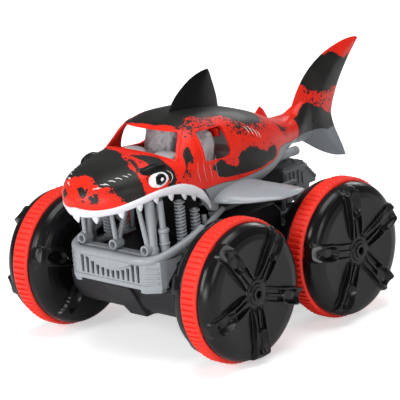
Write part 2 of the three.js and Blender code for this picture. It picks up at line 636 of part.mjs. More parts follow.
// spur gear with straight-sided teeth, one centred on +Y; turn is in tooth pitches
function gear(teeth, form, turn = 0) {
  const radius = teeth * form.module / 2;
  const pitch = 2 * Math.PI / teeth;
  const half = pitch / 4 - form.backlash / 2 / radius;
  const slope = Math.tan(PRESSURE_ANGLE) / radius;
  const tip = half - form.rise * slope * TIP_TAPER;
  const root = Math.min(half + form.depth * slope * ROOT_TAPER, pitch / 2 - 0.01);
  const inside = radius - form.depth;
  const outside = radius + form.rise;
  const points = [];
  for (let i = 0; i < teeth; i++) {
    const centre = (i + turn) * pitch;
    points.push(polar(inside, centre - root), polar(outside, centre - tip),
      polar(outside, centre + tip), polar(inside, centre + root));
  }
  return prism(points, 'x', form.inner, form.outer);
}
const pin = () => rod(SHAFT_START, PIN_END, PIN_R, 8);
const idlerGear = (turn) => join(gear(TRAIN_TEETH, COARSE, turn), pin());
// the shaft's outer end is drilled for the wheel screw
const outputGear = cut(
  join(gear(TRAIN_TEETH, COARSE), rod(SHAFT_START, 89.1, SHAFT_R, 8)),
  rod(83, 90, 1.9, 6));
const compoundGear = join(gear(SMALL_TEETH, COARSE, 0.5), gear(BIG_TEETH, FINE), pin());
const motorPinion = join(gear(PINION_TEETH, FINE, 0.5), rod(34, 43.4, 1.5, 6));
const driveMotor = join(rod(14, 33.6, 10, 12), rod(11.5, 14.5, 4, 6));
const axleSeal = turned([[51.7, SHAFT_BORE], [51.7, 7], [53.6, 7], [53.6, SHAFT_BORE]], 8);

// ---------------------------------------------------------------------- wheels
const TREAD_HALF = 6.1;        // half the tread width
const TREAD_IN = 44.8;         // inside radius of the tread ring
const RIBS = 36;               // ribs round one tread
const GROOVE = 1.5;            // depth between ribs
const RIM_R = 47.3;            // shell radius where it meets the tread
const HUB_OUT = 19.7;          // hub face from the tread centre
const WHEEL_FACETS = 12;
const PADDLES = 5;             // paddles on each wheel face
const PADDLE_STEP = 360 / PADDLES;
const HOOK_FACE = 21.2;        // outer face of the hooks

// flat lands with grooves between them, one land centred straight down
function makeTread() {
  const pitch = 2 * Math.PI / RIBS;
  const land = 0.3 * pitch;
  const corner = WHEEL_R / Math.cos(land);
  const points = [];
  for (let i = 0; i < RIBS; i++) {
    const centre = -Math.PI / 2 + i * pitch;
    points.push(polar(corner, centre - land), polar(corner, centre + land),
      polar(WHEEL_R - GROOVE, centre + pitch / 2));
  }
  return cut(prism(points, 'x', -TREAD_HALF, TREAD_HALF),
    prism(regularPolygon(TREAD_IN, 20), 'x', -7, 7));
}
const tread = makeTread();

// half profiles of [distance from the tread centre, radius]; both share the dish
const DISH = [
  [16, 30], [12.5, 42], [6.4, RIM_R], [6.4, 44], [0.3, 44],
  [0.3, 42], [14.3, 30], [14.3, 7.6], [0.3, 7.6],
];
const OUTER_PROFILE = [
  [0.3, SHAFT_BORE], [9, SHAFT_BORE], [9, 1.9], [11.5, 1.9], [11.5, 4.4],
  [HUB_OUT, 4.4], [HUB_OUT, 9.4], [16.5, 10.4], ...DISH,
];
const INNER_PROFILE = [
  [0.3, SHAFT_BORE], [21.5, SHAFT_BORE], [21.5, 7.4], [16.5, 8.2], ...DISH,
].map(([x, radius]) => [-x, radius]);

// paddle drawn pointing along +Y: rail from the hub, hooked scoop at the rim
const RAIL = [[9, -4], [31.5, -4], [31.5, 2.5], [9, 2.5]];
const HOOK = [[31, -5], [38, -5.6], [44.2, -1], [44.2, 8], [40.4, 1.5], [36, -1.2], [31, -1.2]];

// height from the tread centre at which the hook meets the sloping shell
function hookFoot(radius) {
  if (radius < 34) return 14.6;
  return radius < 39 ? 12.5 : 9.4;
}
function hookSolid(plan) {
  const count = plan.length;
  const vertices = [
    ...plan.map(([y, z], i) => [hookFoot(HOOK[i][0]), y, z]),
    ...plan.map(([y, z]) => [HOOK_FACE, y, z]),
  ];
  const outline = plan.map(([y, z]) => new THREE.Vector2(y, z));
  const faces = [];
  for (const [i, j, k] of THREE.ShapeUtils.triangulateShape(outline, [])) {
    faces.push([i, k, j], [i + count, j + count, k + count]);
  }
  for (let i = 0; i < count; i++) {
    const j = (i + 1) % count;
    faces.push([i, j, j + count], [i, j + count, i + count]);
  }
  return faceted(vertices, faces);
}
// side is 1 for the outer face of the wheel, -1 for the inner, which has no hooks
function paddle(side, angle) {
  const [cosine, sine] = polar(1, angle);
  const turn = ([y, z]) => [y * cosine - z * sine, y * sine + z * cosine];
  const rail = prism(RAIL.map(turn), 'x', ...sideSpan(side, 15, 18.6));
  return side > 0 ? [rail, hookSolid(HOOK.map(turn))] : [rail];
}
function wheelShell(side, phase) {
  const profile = side > 0 ? OUTER_PROFILE : INNER_PROFILE;
  const paddles = [];
  for (let i = 0; i < PADDLES; i++) {
    paddles.push(...paddle(side, THREE.MathUtils.degToRad(phase + PADDLE_STEP * i)));
  }
  return join(turned(profile, WHEEL_FACETS, Math.PI / WHEEL_FACETS), paddles);
}
const wheelScrew = join(
  turned([[11.8, 0], [11.8, 3.8], [14, 3.4], [14, 0]], 8),
  rod(3.4, 12.2, 1.6, 6));

// -------------------------------------------------------------------- assembly
const car = new THREE.Group();
car.name = 'shark_stunt_car';
car.position.y = SHIFT_Y;

function add(parent, name, solid, material, mirror = false) {
  const mesh = new THREE.Mesh(toGeometry(solid, mirror), material());
  mesh.name = name;
  parent.add(mesh);
}
function addPair(name, solid, material) {
  add(car, `${name}_left`, solid, material);
  add(car, `${name}_right`, solid, material, true);
}
function groupAt(x, y, z) {
  const group = new THREE.Group();
  group.position.set(x, y, z);
  car.add(group);
  return group;
}

add(car, 'body_shell', bodyShell(), redPaint);
add(car, 'belly_shell', bellyShell(), greyPlastic);
add(car, 'jaw_trim', jawTrim(), whitePlastic);
add(car, 'dorsal_fin', cut(fin(DORSAL), bodyClearance), blackPlastic);
add(car, 'rear_dorsal_fin', cut(fin(REAR_DORSAL), bodyClearance), redPaint);
add(car, 'tail_fin', tailFin(), blackPlastic);
addPair('pectoral_fin', pectoralFin(), palePlastic);
add(car, 'cabin_interior', cabinInterior(), greyPlastic);
add(car, 'front_bumper', frontBumper(), greyPlastic);
add(car, 'front_cage', frontCage(), greyPlastic);
addPair('strut_set', strutSet, greyPlastic);
addPair('side_frame', sideFrame, darkPlastic);
add(car, 'rear_deck', rearDeck(), darkPlastic);
add(car, 'hull_lower', hullLower(), hullPlastic);
add(car, 'hull_upper', hullUpper(), hullPlastic);
add(car, 'battery_cover', batteryCover(), hullPlastic);
add(car, 'battery_cover_screw', coverScrew(), steel);
add(car, 'battery_pack', batteryPack(), cellBlue);
add(car, 'receiver_board', receiverBoard(), boardGreen);
add(car, 'power_switch_body', switchBody(), blackPlastic);
add(car, 'power_switch_knob', switchKnob(), blackPlastic);

// end, axle y, angle of the first outer paddle in degrees
const AXLES = [['front', -AXLE_Y, 54], ['rear', AXLE_Y, 24]];
// place, y, turn in tooth pitches so neighbouring gears mesh
const IDLERS = [['front', -IDLER_STEP, 0.5], ['middle', 0, 0], ['rear', IDLER_STEP, 0.5]];
for (const [tag, side] of [['left', 1], ['right', -1]]) {
  const mirror = side < 0;
  for (const [end, y, phase] of AXLES) {
    const wheel = groupAt(side * TRACK_X, y, AXLE_Z);
    const name = `wheel_${end}_${tag}`;
    add(wheel, `${name}_outer_shell`, wheelShell(1, phase), glossBlack, mirror);
    const innerPhase = phase + PADDLE_STEP / 2;
    add(wheel, `${name}_inner_shell`, wheelShell(-1, innerPhase), glossBlack, mirror);
    add(wheel, `${name}_tread`, tread, treadRed, mirror);
    add(wheel, `${name}_screw`, wheelScrew, steel, mirror);
    const axle = groupAt(0, y, AXLE_Z);
    add(axle, `output_gear_${end}_${tag}`, outputGear, gearPlastic, mirror);
    add(axle, `axle_seal_${end}_${tag}`, axleSeal, rubber, mirror);
  }
  for (const [end, y, turn] of IDLERS) {
    const idler = groupAt(0, y, AXLE_Z);
    add(idler, `idler_gear_${end}_${tag}`, idlerGear(turn), gearPlastic, mirror);
  }
  add(groupAt(0, 0, COMPOUND_Z), `compound_gear_${tag}`, compoundGear, gearPlastic, mirror);
  add(groupAt(0, MOTOR_Y, COMPOUND_Z), `motor_pinion_${tag}`, motorPinion, steel, mirror);
  add(groupAt(0, MOTOR_Y, COMPOUND_Z), `drive_motor_${tag}`, driveMotor, steel, mirror);
}

export default car;
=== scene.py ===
"""Looks of a shark-bodied amphibious stunt car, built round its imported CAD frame.
Lengths are written in millimetres with Y measured from the middle of the wheelbase;
put() turns them into metres in the row frame."""
import math

import bmesh
import bpy
import numpy as np
from mathutils import Matrix, Vector


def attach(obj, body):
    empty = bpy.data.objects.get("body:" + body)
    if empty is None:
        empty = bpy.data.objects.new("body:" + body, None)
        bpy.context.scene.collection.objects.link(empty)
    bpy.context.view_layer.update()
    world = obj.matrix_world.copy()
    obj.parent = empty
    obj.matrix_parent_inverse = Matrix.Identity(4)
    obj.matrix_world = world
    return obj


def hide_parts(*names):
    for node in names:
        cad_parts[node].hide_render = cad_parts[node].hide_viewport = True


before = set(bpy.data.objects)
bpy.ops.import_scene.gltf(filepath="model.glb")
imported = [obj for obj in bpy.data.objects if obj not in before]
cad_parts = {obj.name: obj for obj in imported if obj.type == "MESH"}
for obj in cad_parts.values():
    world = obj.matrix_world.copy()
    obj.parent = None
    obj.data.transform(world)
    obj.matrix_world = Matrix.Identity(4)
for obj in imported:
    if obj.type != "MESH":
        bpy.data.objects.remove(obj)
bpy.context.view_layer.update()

SH = -31.62            # wheelbase middle in the row frame
AXLE_Z, AXLE_Y, TRACK_X = 50.0, 54.0, 80.5
rng = np.random.default_rng(7)
scene = bpy.context.scene


# ------------------------------------------------------------------ mesh helpers
def put(name, verts, faces, shift=True):
    v = np.asarray(verts, float).copy()
    if shift:
        v[:, 1] += SH
    me = bpy.data.meshes.new(name)
    me.from_pydata((v * 0.001).tolist(), [], [list(map(int, f)) for f in faces])
    me.update()
    o = bpy.data.objects.new(name, me)
    scene.collection.objects.link(o)
    return o


def drop(o):
    me = o.data
    bpy.data.objects.remove(o)
    if me.users == 0:
        bpy.data.meshes.remove(me)


def applied(o):
    """Bakes o's modifiers into its mesh."""
    bpy.context.view_layer.update()
    dg = bpy.context.evaluated_depsgraph_get()
    me = bpy.data.meshes.new_from_object(o.evaluated_get(dg))
    old = o.data
    o.modifiers.clear()
    o.data = me
    if old.users == 0:
        bpy.data.meshes.remove(old)
    return o


def outward(o):
    bm = bmesh.new()
    bm.from_mesh(o.data)
    bmesh.ops.recalc_face_normals(bm, faces=bm.faces)
    if bm.calc_volume(signed=True) < 0:
        bmesh.ops.reverse_faces(bm, faces=bm.faces)
    bm.to_mesh(o.data)
    bm.free()
    return o


def weld(o, dist=1e-6):
    bm = bmesh.new()
    bm.from_mesh(o.data)
    bmesh.ops.remove_doubles(bm, verts=bm.verts, dist=dist)
    bmesh.ops.dissolve_degenerate(bm, edges=bm.edges, dist=1e-8)
    bm.to_mesh(o.data)
    bm.free()
    return o


def boolean(a, others, op):
    for b in others if isinstance(others, (list, tuple)) else [others]:
        m = a.modifiers.new("cut", "BOOLEAN")
        m.operation, m.object, m.solver = op, b, "MANIFOLD"
        applied(a)
        drop(b)
    return a


def copy_of(o, name="tmp"):
    c = bpy.data.objects.new(name, o.data.copy())
    scene.collection.objects.link(c)
    return c


def gather(name, objs):
    """One object from several."""
    verts, faces, at = [], [], 0
    for o in objs:
        applied(o)
        co = np.zeros(len(o.data.vertices) * 3, np.float32)
        o.data.vertices.foreach_get("co", co)
        verts.append(co.reshape(-1, 3).astype(float) * 1000)
        faces += [[i + at for i in p.vertices] for p in o.data.polygons]
        at += len(verts[-1])
        drop(o)
    return put(name, np.vstack(verts), faces, shift=False)


def coords(o):
    co = np.zeros(len(o.data.vertices) * 3, np.float32)
    o.data.vertices.foreach_get("co", co)
    v = co.reshape(-1, 3).astype(float) * 1000
    v[:, 1] -= SH
    return v


def mirrored(o, name):
    v = coords(o)
    v[:, 0] *= -1
    return put(name, v, [list(p.vertices)[::-1] for p in o.data.polygons])


def soften(o, width, segments=2, angle=35):
    m = o.modifiers.new("bevel", "BEVEL")
    m.width, m.segments, m.limit_method, m.angle_limit = width * 0.001, segments, "ANGLE", math.radians(angle)
    m.harden_normals = False
    m.use_clamp_overlap = True
    return applied(o)


def finish(o, material, body="chassis", replaces=(), smooth=38):
    me = o.data
    me.materials.clear()
    me.materials.append(material)
    me.polygons.foreach_set("material_index", [0] * len(me.polygons))
    me.polygons.foreach_set("use_smooth", [True] * len(me.polygons))
    if smooth < 180:
        me.set_sharp_from_angle(angle=math.radians(smooth))
        w = o.modifiers.new("normals", "WEIGHTED_NORMAL")
        w.keep_sharp = True
    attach(o, body)
    if replaces:
        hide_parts(*replaces)
    return o


def attribute(o, name, values):
    a = o.data.attributes.get(name) or o.data.attributes.new(name, "FLOAT", "POINT")
    a.data.foreach_set("value", np.asarray(values, np.float32))


def pchip(xs, ys, x):
    xs, ys, x = np.asarray(xs, float), np.asarray(ys, float), np.asarray(x, float)
    h = np.diff(xs)
    d = np.diff(ys) / h
    m = np.zeros(len(xs))
    m[0], m[-1] = d[0], d[-1]
    for i in range(1, len(xs) - 1):
        if d[i - 1] * d[i] > 0:
            w1, w2 = 2 * h[i] + h[i - 1], h[i] + 2 * h[i - 1]
            m[i] = (w1 + w2) / (w1 / d[i - 1] + w2 / d[i])
    k = np.clip(np.searchsorted(xs, x, side="left") - 1, 0, len(xs) - 2)
    t = np.clip((x - xs[k]) / h[k], 0, 1)
    return ((1 + 2 * t) * (1 - t) ** 2 * ys[k] + t * (1 - t) ** 2 * h[k] * m[k]
            + t * t * (3 - 2 * t) * ys[k + 1] + t * t * (t - 1) * h[k] * m[k + 1])


def curve(points, n):
    """n points along a smooth path through the given ones."""
    p = np.asarray(points, float)
    d = np.concatenate([[0], np.cumsum(np.linalg.norm(np.diff(p, axis=0), axis=1) ** 0.5)])
    t = np.linspace(0, d[-1], n)
    m = np.zeros_like(p)
    for i in range(len(p)):
        a, b = max(i - 1, 0), min(i + 1, len(p) - 1)
        m[i] = (p[b] - p[a]) / (d[b] - d[a])
    k = np.clip(np.searchsorted(d, t, side="right") - 1, 0, len(p) - 2)
    h = (d[k + 1] - d[k])[:, None]
    u = ((t - d[k]) / (d[k + 1] - d[k]))[:, None]
    return ((1 + 2 * u) * (1 - u) ** 2 * p[k] + u * (1 - u) ** 2 * h * m[k]
            + u * u * (3 - 2 * u) * p[k + 1] + u * u * (u - 1) * h * m[k + 1])


def smooth01(a, b, x):
    t = np.clip((np.asarray(x, float) - a) / (b - a), 0, 1)
    return t * t * (3 - 2 * t)


def grid(nu, nv, wrap_v=True, wrap_u=False):
    f = []
    for i in range(nu if wrap_u else nu - 1):
        for j in range(nv if wrap_v else nv - 1):
            a, b = i * nv + j, i * nv + (j + 1) % nv
            c, d = ((i + 1) % nu) * nv + (j + 1) % nv, ((i + 1) % nu) * nv + j
            f.append((a, b, c, d))
    return f


def loft(name, rings, caps=True):
    nu, nv = len(rings), len(rings[0])
    v = np.vstack(rings)
    f = grid(nu, nv)
    if caps:
        f += [tuple(range(nv))[::-1], tuple(range((nu - 1) * nv, nu * nv))]
    return outward(put(name, v, f))


def sweep(name, path, radius, seg=14, round_ends=True):
    """Round bar along a path, with domed ends."""
    p = np.asarray(path, float)
    r = np.broadcast_to(np.asarray(radius, float), (len(p),)).copy()
    t = np.gradient(p, axis=0)
    t /= np.linalg.norm(t, axis=1)[:, None]
    up = np.array([0, 0, 1.0]) if abs(t[0][2]) < 0.9 else np.array([0, 1.0, 0])
    rings, n = [], np.cross(t[0], up)
    n /= np.linalg.norm(n)
    a = np.linspace(0, 2 * math.pi, seg, endpoint=False)
    for i in range(len(p)):
        n = n - t[i] * (n @ t[i])
        n /= np.linalg.norm(n)
        b = np.cross(t[i], n)
        rings.append(p[i] + r[i] * (np.cos(a)[:, None] * n + np.sin(a)[:, None] * b))
    if round_ends:
        c = min(0.35 * r[0], 0.6)
        rings = [p[0] + (rings[0] - p[0]) * (1 - c / r[0]) - t[0] * 0, *[p[0] + (rings[0] - p[0]) + t[0] * 0 * 1][:0],
                 rings[0] + t[0] * c * 0.9, *rings[1:-1], rings[-1] - t[-1] * c * 0.9,
                 p[-1] + (rings[-1] - p[-1]) * (1 - c / r[-1])]
    return loft(name, rings)


def bar(a, b, r, seg=14, r2=None, n=4):
    k = np.linspace(0, 1, n)[:, None]
    p = np.array(a, float) * (1 - k) + np.array(b, float) * k
    return sweep("bar", p, np.linspace(r, r if r2 is None else r2, n), seg)


def rounded(points, r, n=4):
    """Polygon with its corners rounded."""
    p = [np.array(q, float) for q in points]
    out = []
    for i, b in enumerate(p):
        a, c = p[i - 1], p[(i + 1) % len(p)]
        u, v = a - b, c - b
        lu, lv = np.linalg.norm(u), np.linalg.norm(v)
        u, v = u / lu, v / lv
        half = math.acos(max(-1, min(1, float(u @ v)))) / 2
        if half > math.radians(85):
            out.append(b)
            continue
        d = min(r / math.tan(half), lu * 0.45, lv * 0.45)
        s, e = b + u * d, b + v * d
        for k in range(n + 1):
            t = k / n
            out.append((1 - t) ** 2 * s + 2 * t * (1 - t) * b + t * t * e)
    return out


def prism(points, axis, a0, a1, name="prism"):
    n = len(points)
    v = []
    for a in (a0, a1):
        for u, w in points:
            v.append({"x": (a, u, w), "y": (u, a, w), "z": (u, w, a)}[axis])
    f = [tuple(range(n)), tuple(range(n, 2 * n))[::-1]]
    f += [(i, i + n, (i + 1) % n + n, (i + 1) % n) for i in range(n)]
    return outward(put(name, v, f))


def block(x0, x1, y0, y1, z0, z1, r=0.6, seg=3):
    o = prism([(x0, y0), (x1, y0), (x1, y1), (x0, y1)], "z", z0, z1)
    return soften(o, r, seg) if r else o


def lathe(name, profile, seg=64, y=0.0, z=0.0, closed=True):
    """Turned about an axis along X; profile of (x, radius) pairs."""
    a = np.linspace(0, 2 * math.pi, seg, endpoint=False)
    rings = [np.column_stack([np.full(seg, x), y + r * np.cos(a), z + r * np.sin(a)]) for x, r in profile]
    v = np.vstack(rings)
    return outward(put(name, v, grid(len(profile), seg, True, closed)))


# -------------------------------------------------------------------- materials
def nodes_of(name):
    m = bpy.data.materials.new(name)
    m.use_nodes = True
    nt = m.node_tree
    nt.nodes.clear()
    out = nt.nodes.new("ShaderNodeOutputMaterial")
    b = nt.nodes.new("ShaderNodeBsdfPrincipled")
    nt.links.new(b.outputs[0], out.inputs[0])
    return m, nt, b


class Net:
    """Short hand for shader nodes."""

    def __init__(self, nt):
        self.nt = nt

    def new(self, kind, **kw):
        n = self.nt.nodes.new(kind)
        for k, v in kw.items():
            setattr(n, k, v)
        return n

    def link(self, a, b):
        self.nt.links.new(a, b)

    def put(self, socket, v):
        if isinstance(v, (int, float, tuple)):
            socket.default_value = v
        else:
            self.link(v, socket)

    def math(self, op, a, b=0.0, c=0.0):
        n = self.new("ShaderNodeMath", operation=op)
        for i, v in enumerate((a, b, c)):
            if i < len(n.inputs):
                self.put(n.inputs[i], v)
        return n.outputs[0]

    def ramp(self, v, lo, hi, a=0.0, b=1.0):
        n = self.new("ShaderNodeMapRange")
        n.clamp = True
        for s, x in zip(n.inputs, (v, lo, hi, a, b)):
            self.put(s, x)
        return n.outputs[0]

    def noise(self, scale, detail=3.0, rough=0.5, distort=0.0, coord=None, kind=None):
        n = self.new("ShaderNodeTexNoise")
        n.inputs["Scale"].default_value = scale
        n.inputs["Detail"].default_value = detail
        n.inputs["Roughness"].default_value = rough
        n.inputs["Distortion"].default_value = distort
        self.link(coord if coord is not None else self.coord(), n.inputs["Vector"])
        return n.outputs["Fac"]

    def coord(self):
        if not hasattr(self, "_c"):
            self._c = self.new("ShaderNodeTexCoord").outputs["Object"]
        return self._c

    def attr(self, name):
        return self.new("ShaderNodeAttribute", attribute_name=name).outputs["Fac"]

    def mix(self, f, a, b):
        n = self.new("ShaderNodeMix", data_type="RGBA")
        self.put(n.inputs[0], f)
        for s, v in ((n.inputs[6], a), (n.inputs[7], b)):
            self.put(s, v if not isinstance(v, tuple) else (*v, 1.0)[:4])
        return n.outputs[2]


def srgb(h):
    c = [((h >> s) & 255) / 255 for s in (16, 8, 0)]
    return tuple(x / 12.92 if x <= 0.04045 else ((x + 0.055) / 1.055) ** 2.4 for x in c)


def surface(net, b, color, rough, radius=0.35, grain=0.012, grain_scale=2600.0, spread=0.08, wear_and_edge_glint=0.12, scratch=True, sag_mm=0.06):
    """Edge rounding, fine moulding grain, roughness patches and lighter edges, partly wear and partly a painted
    highlight along the rims.
    """
    bev = net.new("ShaderNodeBevel", samples=4)
    bev.inputs["Radius"].default_value = radius * 0.001
    geo = net.new("ShaderNodeNewGeometry")
    dot = net.new("ShaderNodeVectorMath", operation="DOT_PRODUCT")
    net.link(bev.outputs[0], dot.inputs[0])
    net.link(geo.outputs["Normal"], dot.inputs[1])
    patch = net.noise(70, 4, 0.6)
    # edges lightened towards pale grey: partly wear, partly a painted highlight standing in for the bright rims of
    # glossy parts
    edge = net.math("MULTIPLY", net.ramp(dot.outputs["Value"], 0.995, 0.86), net.ramp(patch, 0.35, 0.65))
    tone = net.mix(net.math("MULTIPLY", edge, wear_and_edge_glint), color, (0.75, 0.74, 0.72))
    mottled = net.new("ShaderNodeHueSaturation")
    net.link(tone, mottled.inputs["Color"])
    net.link(net.ramp(net.noise(28, 3, 0.55), 0.3, 0.7, 0.955, 1.045), mottled.inputs["Value"])
    net.link(mottled.outputs[0], b.inputs["Base Color"])
    r = net.math("ADD", net.ramp(patch, 0.3, 0.7, -spread, spread), rough)
    if scratch:
        stretch = net.new("ShaderNodeMapping")
        net.link(net.coord(), stretch.inputs[0])
        stretch.inputs["Scale"].default_value = (1.0, 0.12, 1.0)
        stretch.inputs["Rotation"].default_value = (0.5, 0.9, 0.3)
        hair = net.noise(900, 2, 0.5, 0.0, stretch.outputs[0])
        r = net.math("ADD", r, net.ramp(hair, 0.68, 0.78, 0.0, 0.04))
    net.link(net.math("MAXIMUM", r, 0.06), b.inputs["Roughness"])
    bump = net.new("ShaderNodeBump")
    bump.inputs["Strength"].default_value = 1.0
    bump.inputs["Distance"].default_value = grain * 0.001
    net.link(net.noise(grain_scale, 2, 0.5), bump.inputs["Height"])
    sag = net.new("ShaderNodeBump")
    sag.inputs["Strength"].default_value = 1.0
    sag.inputs["Distance"].default_value = sag_mm * 0.001
    net.link(net.noise(34, 1, 0.4), sag.inputs["Height"])
    net.link(bev.outputs[0], sag.inputs["Normal"])
    net.link(sag.outputs[0], bump.inputs["Normal"])
    net.link(bump.outputs[0], b.inputs["Normal"])


def plastic(name, hexa, rough, radius=0.35, grain=0.012, spread=0.06, wear_and_edge_glint=0.10, coat=0.0, ior=1.46, metal=0.0, grain_scale=2600.0, sag=0.06):
    m, nt, b = nodes_of(name)
    net = Net(nt)
    b.inputs["IOR"].default_value = ior
    b.inputs["Metallic"].default_value = metal
    if coat:
        b.inputs["Coat Weight"].default_value = coat
        b.inputs["Coat Roughness"].default_value = 0.12
    surface(net, b, srgb(hexa), rough, radius, grain, grain_scale, spread, wear_and_edge_glint, True, sag)
    return m


RED_C, INK_C, GREY_C = srgb(0xE2261A), srgb(0x242322), srgb(0x70767D)


def painted(name):
    """Moulded red with black splatter print; attributes say how far inside the
    black a point lies (ink, in mm) and how ragged the print's edge is (amp)."""
    m, nt, b = nodes_of(name)
    net = Net(nt)
    ink, amp = net.attr("ink"), net.attr("amp")
    def around(scale, detail, rough, gain):
        return net.math("MULTIPLY", net.math("SUBTRACT", net.noise(scale, detail, rough, 0.35), 0.5), gain)
    rag = net.math("ADD", around(1150, 3, 0.6, 2.6), net.math("ADD", around(430, 4, 0.65, 3.4), around(120, 2, 0.5, 2.0)))
    d = net.math("ADD", ink, net.math("MULTIPLY", rag, amp))
    mask = net.ramp(d, -0.07, 0.07)
    # droplets of the splatter: one to a cell, their size falls with a random number
    spot = net.attr("spot")
    for scale, gain in ((430, 0.95), (760, 0.9), (1300, 0.85)):
        cell = net.new("ShaderNodeTexVoronoi")
        cell.inputs["Scale"].default_value = scale
        net.link(net.coord(), cell.inputs["Vector"])
        split = net.new("ShaderNodeSeparateColor")
        net.link(cell.outputs["Color"], split.inputs[0])
        radius = net.math("MULTIPLY", net.math("SUBTRACT", spot, split.outputs[0]), gain)
        mask = net.math("MAXIMUM", mask, net.ramp(net.math("SUBTRACT", radius, cell.outputs["Distance"]), -0.04, 0.04))
        # and bare red flecks inside the print near its edge
        bare = net.math("MULTIPLY", net.math("SUBTRACT", net.attr("bare"), split.outputs[1]), gain)
        mask = net.math("MULTIPLY", mask, net.ramp(net.math("SUBTRACT", bare, cell.outputs["Distance"]), -0.04, 0.04, 1.0, 0.0))
    fade = net.ramp(net.noise(60, 3, 0.6), 0.35, 0.75, 0.0, 1.0)
    ink_col = net.mix(fade, srgb(0x161514), srgb(0x22211F))
    red_col = net.mix(net.ramp(net.noise(45, 3, 0.5), 0.3, 0.7), srgb(0xDF1E0D), srgb(0xEA2A15))
    grey = net.attr("grey")
    col = net.mix(mask, red_col, ink_col)
    col = net.mix(net.ramp(grey, -0.12, 0.12), col, GREY_C)
    surface(net, b, col, 0.36, 0.4, 0.010, 2600.0, 0.05, 0.10)
    # the print is a touch rougher than the moulding and stands a hair above it
    rough_in = b.inputs["Roughness"].links[0].from_socket
    net.link(net.math("ADD", rough_in, net.math("MULTIPLY", mask, 0.07)), b.inputs["Roughness"])
    last = b.inputs["Normal"].links[0].from_socket
    step = net.new("ShaderNodeBump")
    step.inputs["Distance"].default_value = 0.00004
    net.link(mask, step.inputs["Height"])
    net.link(last, step.inputs["Normal"])
    net.link(step.outputs[0], b.inputs["Normal"])
    b.inputs["IOR"].default_value = 1.36
    return m


PAINT = painted("paint_splatter")
RED = plastic("moulded_red", 0xE2200F, 0.34, 0.4, ior=1.38)
BLACK = plastic("satin_black", 0x0B0B0C, 0.36, 0.5, wear_and_edge_glint=0.04, ior=1.28)
GREY = plastic("moulded_grey", 0x8C9195, 0.42, 0.35)
FRAMEG = plastic("frame_grey", 0x969B9F, 0.30, 0.3)
# cabin grey is lighter than the seats' own grey: painted light standing in for the light that comes in through the open
# windows, which the roof shades here
CABIN_GREY_AND_PAINTED_LIGHT = plastic("cabin_grey_and_painted_light", 0xB9BDC0, 0.40, 0.4)
PALE = plastic("pearl_grey", 0x989EA3, 0.2, 0.6, grain=0.005, sag=0.012)
WHITE = plastic("lip_white", 0xE4E6EC, 0.30, 0.7, grain=0.006, wear_and_edge_glint=0.0)
DARK = plastic("deck_grey", 0x66696C, 0.5, 0.4)
HULL = plastic("hull_black", 0x1B1B1F, 0.42, 0.8, wear_and_edge_glint=0.05, ior=1.38)
# wheel black: its strong edge lightening is mostly a painted highlight on the glossy rims
GLOSS = plastic("wheel_black", 0x0C0C0E, 0.23, 0.45, grain=0.006, spread=0.04, wear_and_edge_glint=0.09, ior=1.36)
TREAD = plastic("tread_red", 0xE92B19, 0.52, 0.25, grain=0.03, spread=0.05, wear_and_edge_glint=0.06, grain_scale=1500.0)
EYEW = plastic("eye_white", 0xF2F2F2, 0.22, 0.2, grain=0.003, wear_and_edge_glint=0.0)
EYEB = plastic("eye_black", 0x0D0D0E, 0.15, 0.2, grain=0.003, wear_and_edge_glint=0.0)
INKW = plastic("print_white", 0xE8E6E2, 0.5, 0.1, grain=0.006, wear_and_edge_glint=0.0)
INKG = plastic("print_pale", 0xB9A9A6, 0.5, 0.1, grain=0.006, wear_and_edge_glint=0.0)
STEEL = plastic("bright_steel", 0xB8BCC0, 0.28, 0.15, grain=0.004, metal=1.0)
NATURAL = plastic("gear_natural", 0xE6E2D6, 0.45, 0.15)
BOARD = plastic("board_green", 0x1F6A3A, 0.5, 0.1)
CELL = plastic("cell_blue", 0x2458A8, 0.3, 0.4)
RUBBER = plastic("seal_rubber", 0x202022, 0.7, 0.2, grain=0.03)

# ------------------------------------------------------------- the body surface
BY = [-119.5, -118, -114, -107, -98, -85, -70, -56, -47, -38, -22, 0, 20, 40, 58, 75, 90, 97, 107]
BW = [1, 9, 17, 24.5, 30, 35, 38.5, 40.5, 41.3, 42, 42, 42, 40.5, 36.5, 30, 21.5, 14.5, 12.5, 11.5]
BT = [118, 122, 127, 132, 135.5, 138, 140.5, 142, 148, 154, 157, 155.5, 151.5, 145, 137.5, 129.5, 126, 126, 126]
BM = [116, 116, 116, 117, 118, 118, 117, 115, 113, 111, 109, 107, 107, 108, 110, 112, 114, 115, 115]
BB = [112, 110, 107, 104, 100, 97, 95, 94, 93, 93, 92, 91, 91, 93, 97, 100.5, 103, 104, 104]
BN = [2, 2.1, 2.2, 2.3, 2.4, 2.4, 2.5, 2.6, 2.9, 3.2, 3.3, 3.3, 3.2, 3, 2.7, 2.4, 2.2, 2.1, 2.1]
BL = [2, 2, 2, 2.2, 2.4, 2.6, 2.8, 3, 3, 3, 2.6, 2.2, 2, 2, 2, 2, 2, 2, 2]


def section(y):
    return [pchip(BY, a, y) for a in (BW, BT, BM, BB, BN, BL)]


def skin(y, phi, out=0.0):
    """Point of the body surface at phi degrees round from the top, moved out."""
    y, phi = np.broadcast_arrays(np.asarray(y, float), np.asarray(phi, float))
    w, top, mid, bot, nu, nl = section(y.ravel())
    w, top, mid, bot, nu, nl = [q.reshape(y.shape) for q in (w, top, mid, bot, nu, nl)]
    p = np.radians(phi)
    s, c = np.sin(p), np.cos(p)
    n = np.where(c >= 0, nu, nl)
    ww = np.maximum(0.4, w + out)
    z = np.where(c >= 0, mid + (top + out - mid) * np.abs(c) ** (2 / n), mid - (mid - bot + out) * np.abs(c) ** (2 / n))
    return np.stack([ww * np.sign(s) * np.abs(s) ** (2 / n), y, z], -1)


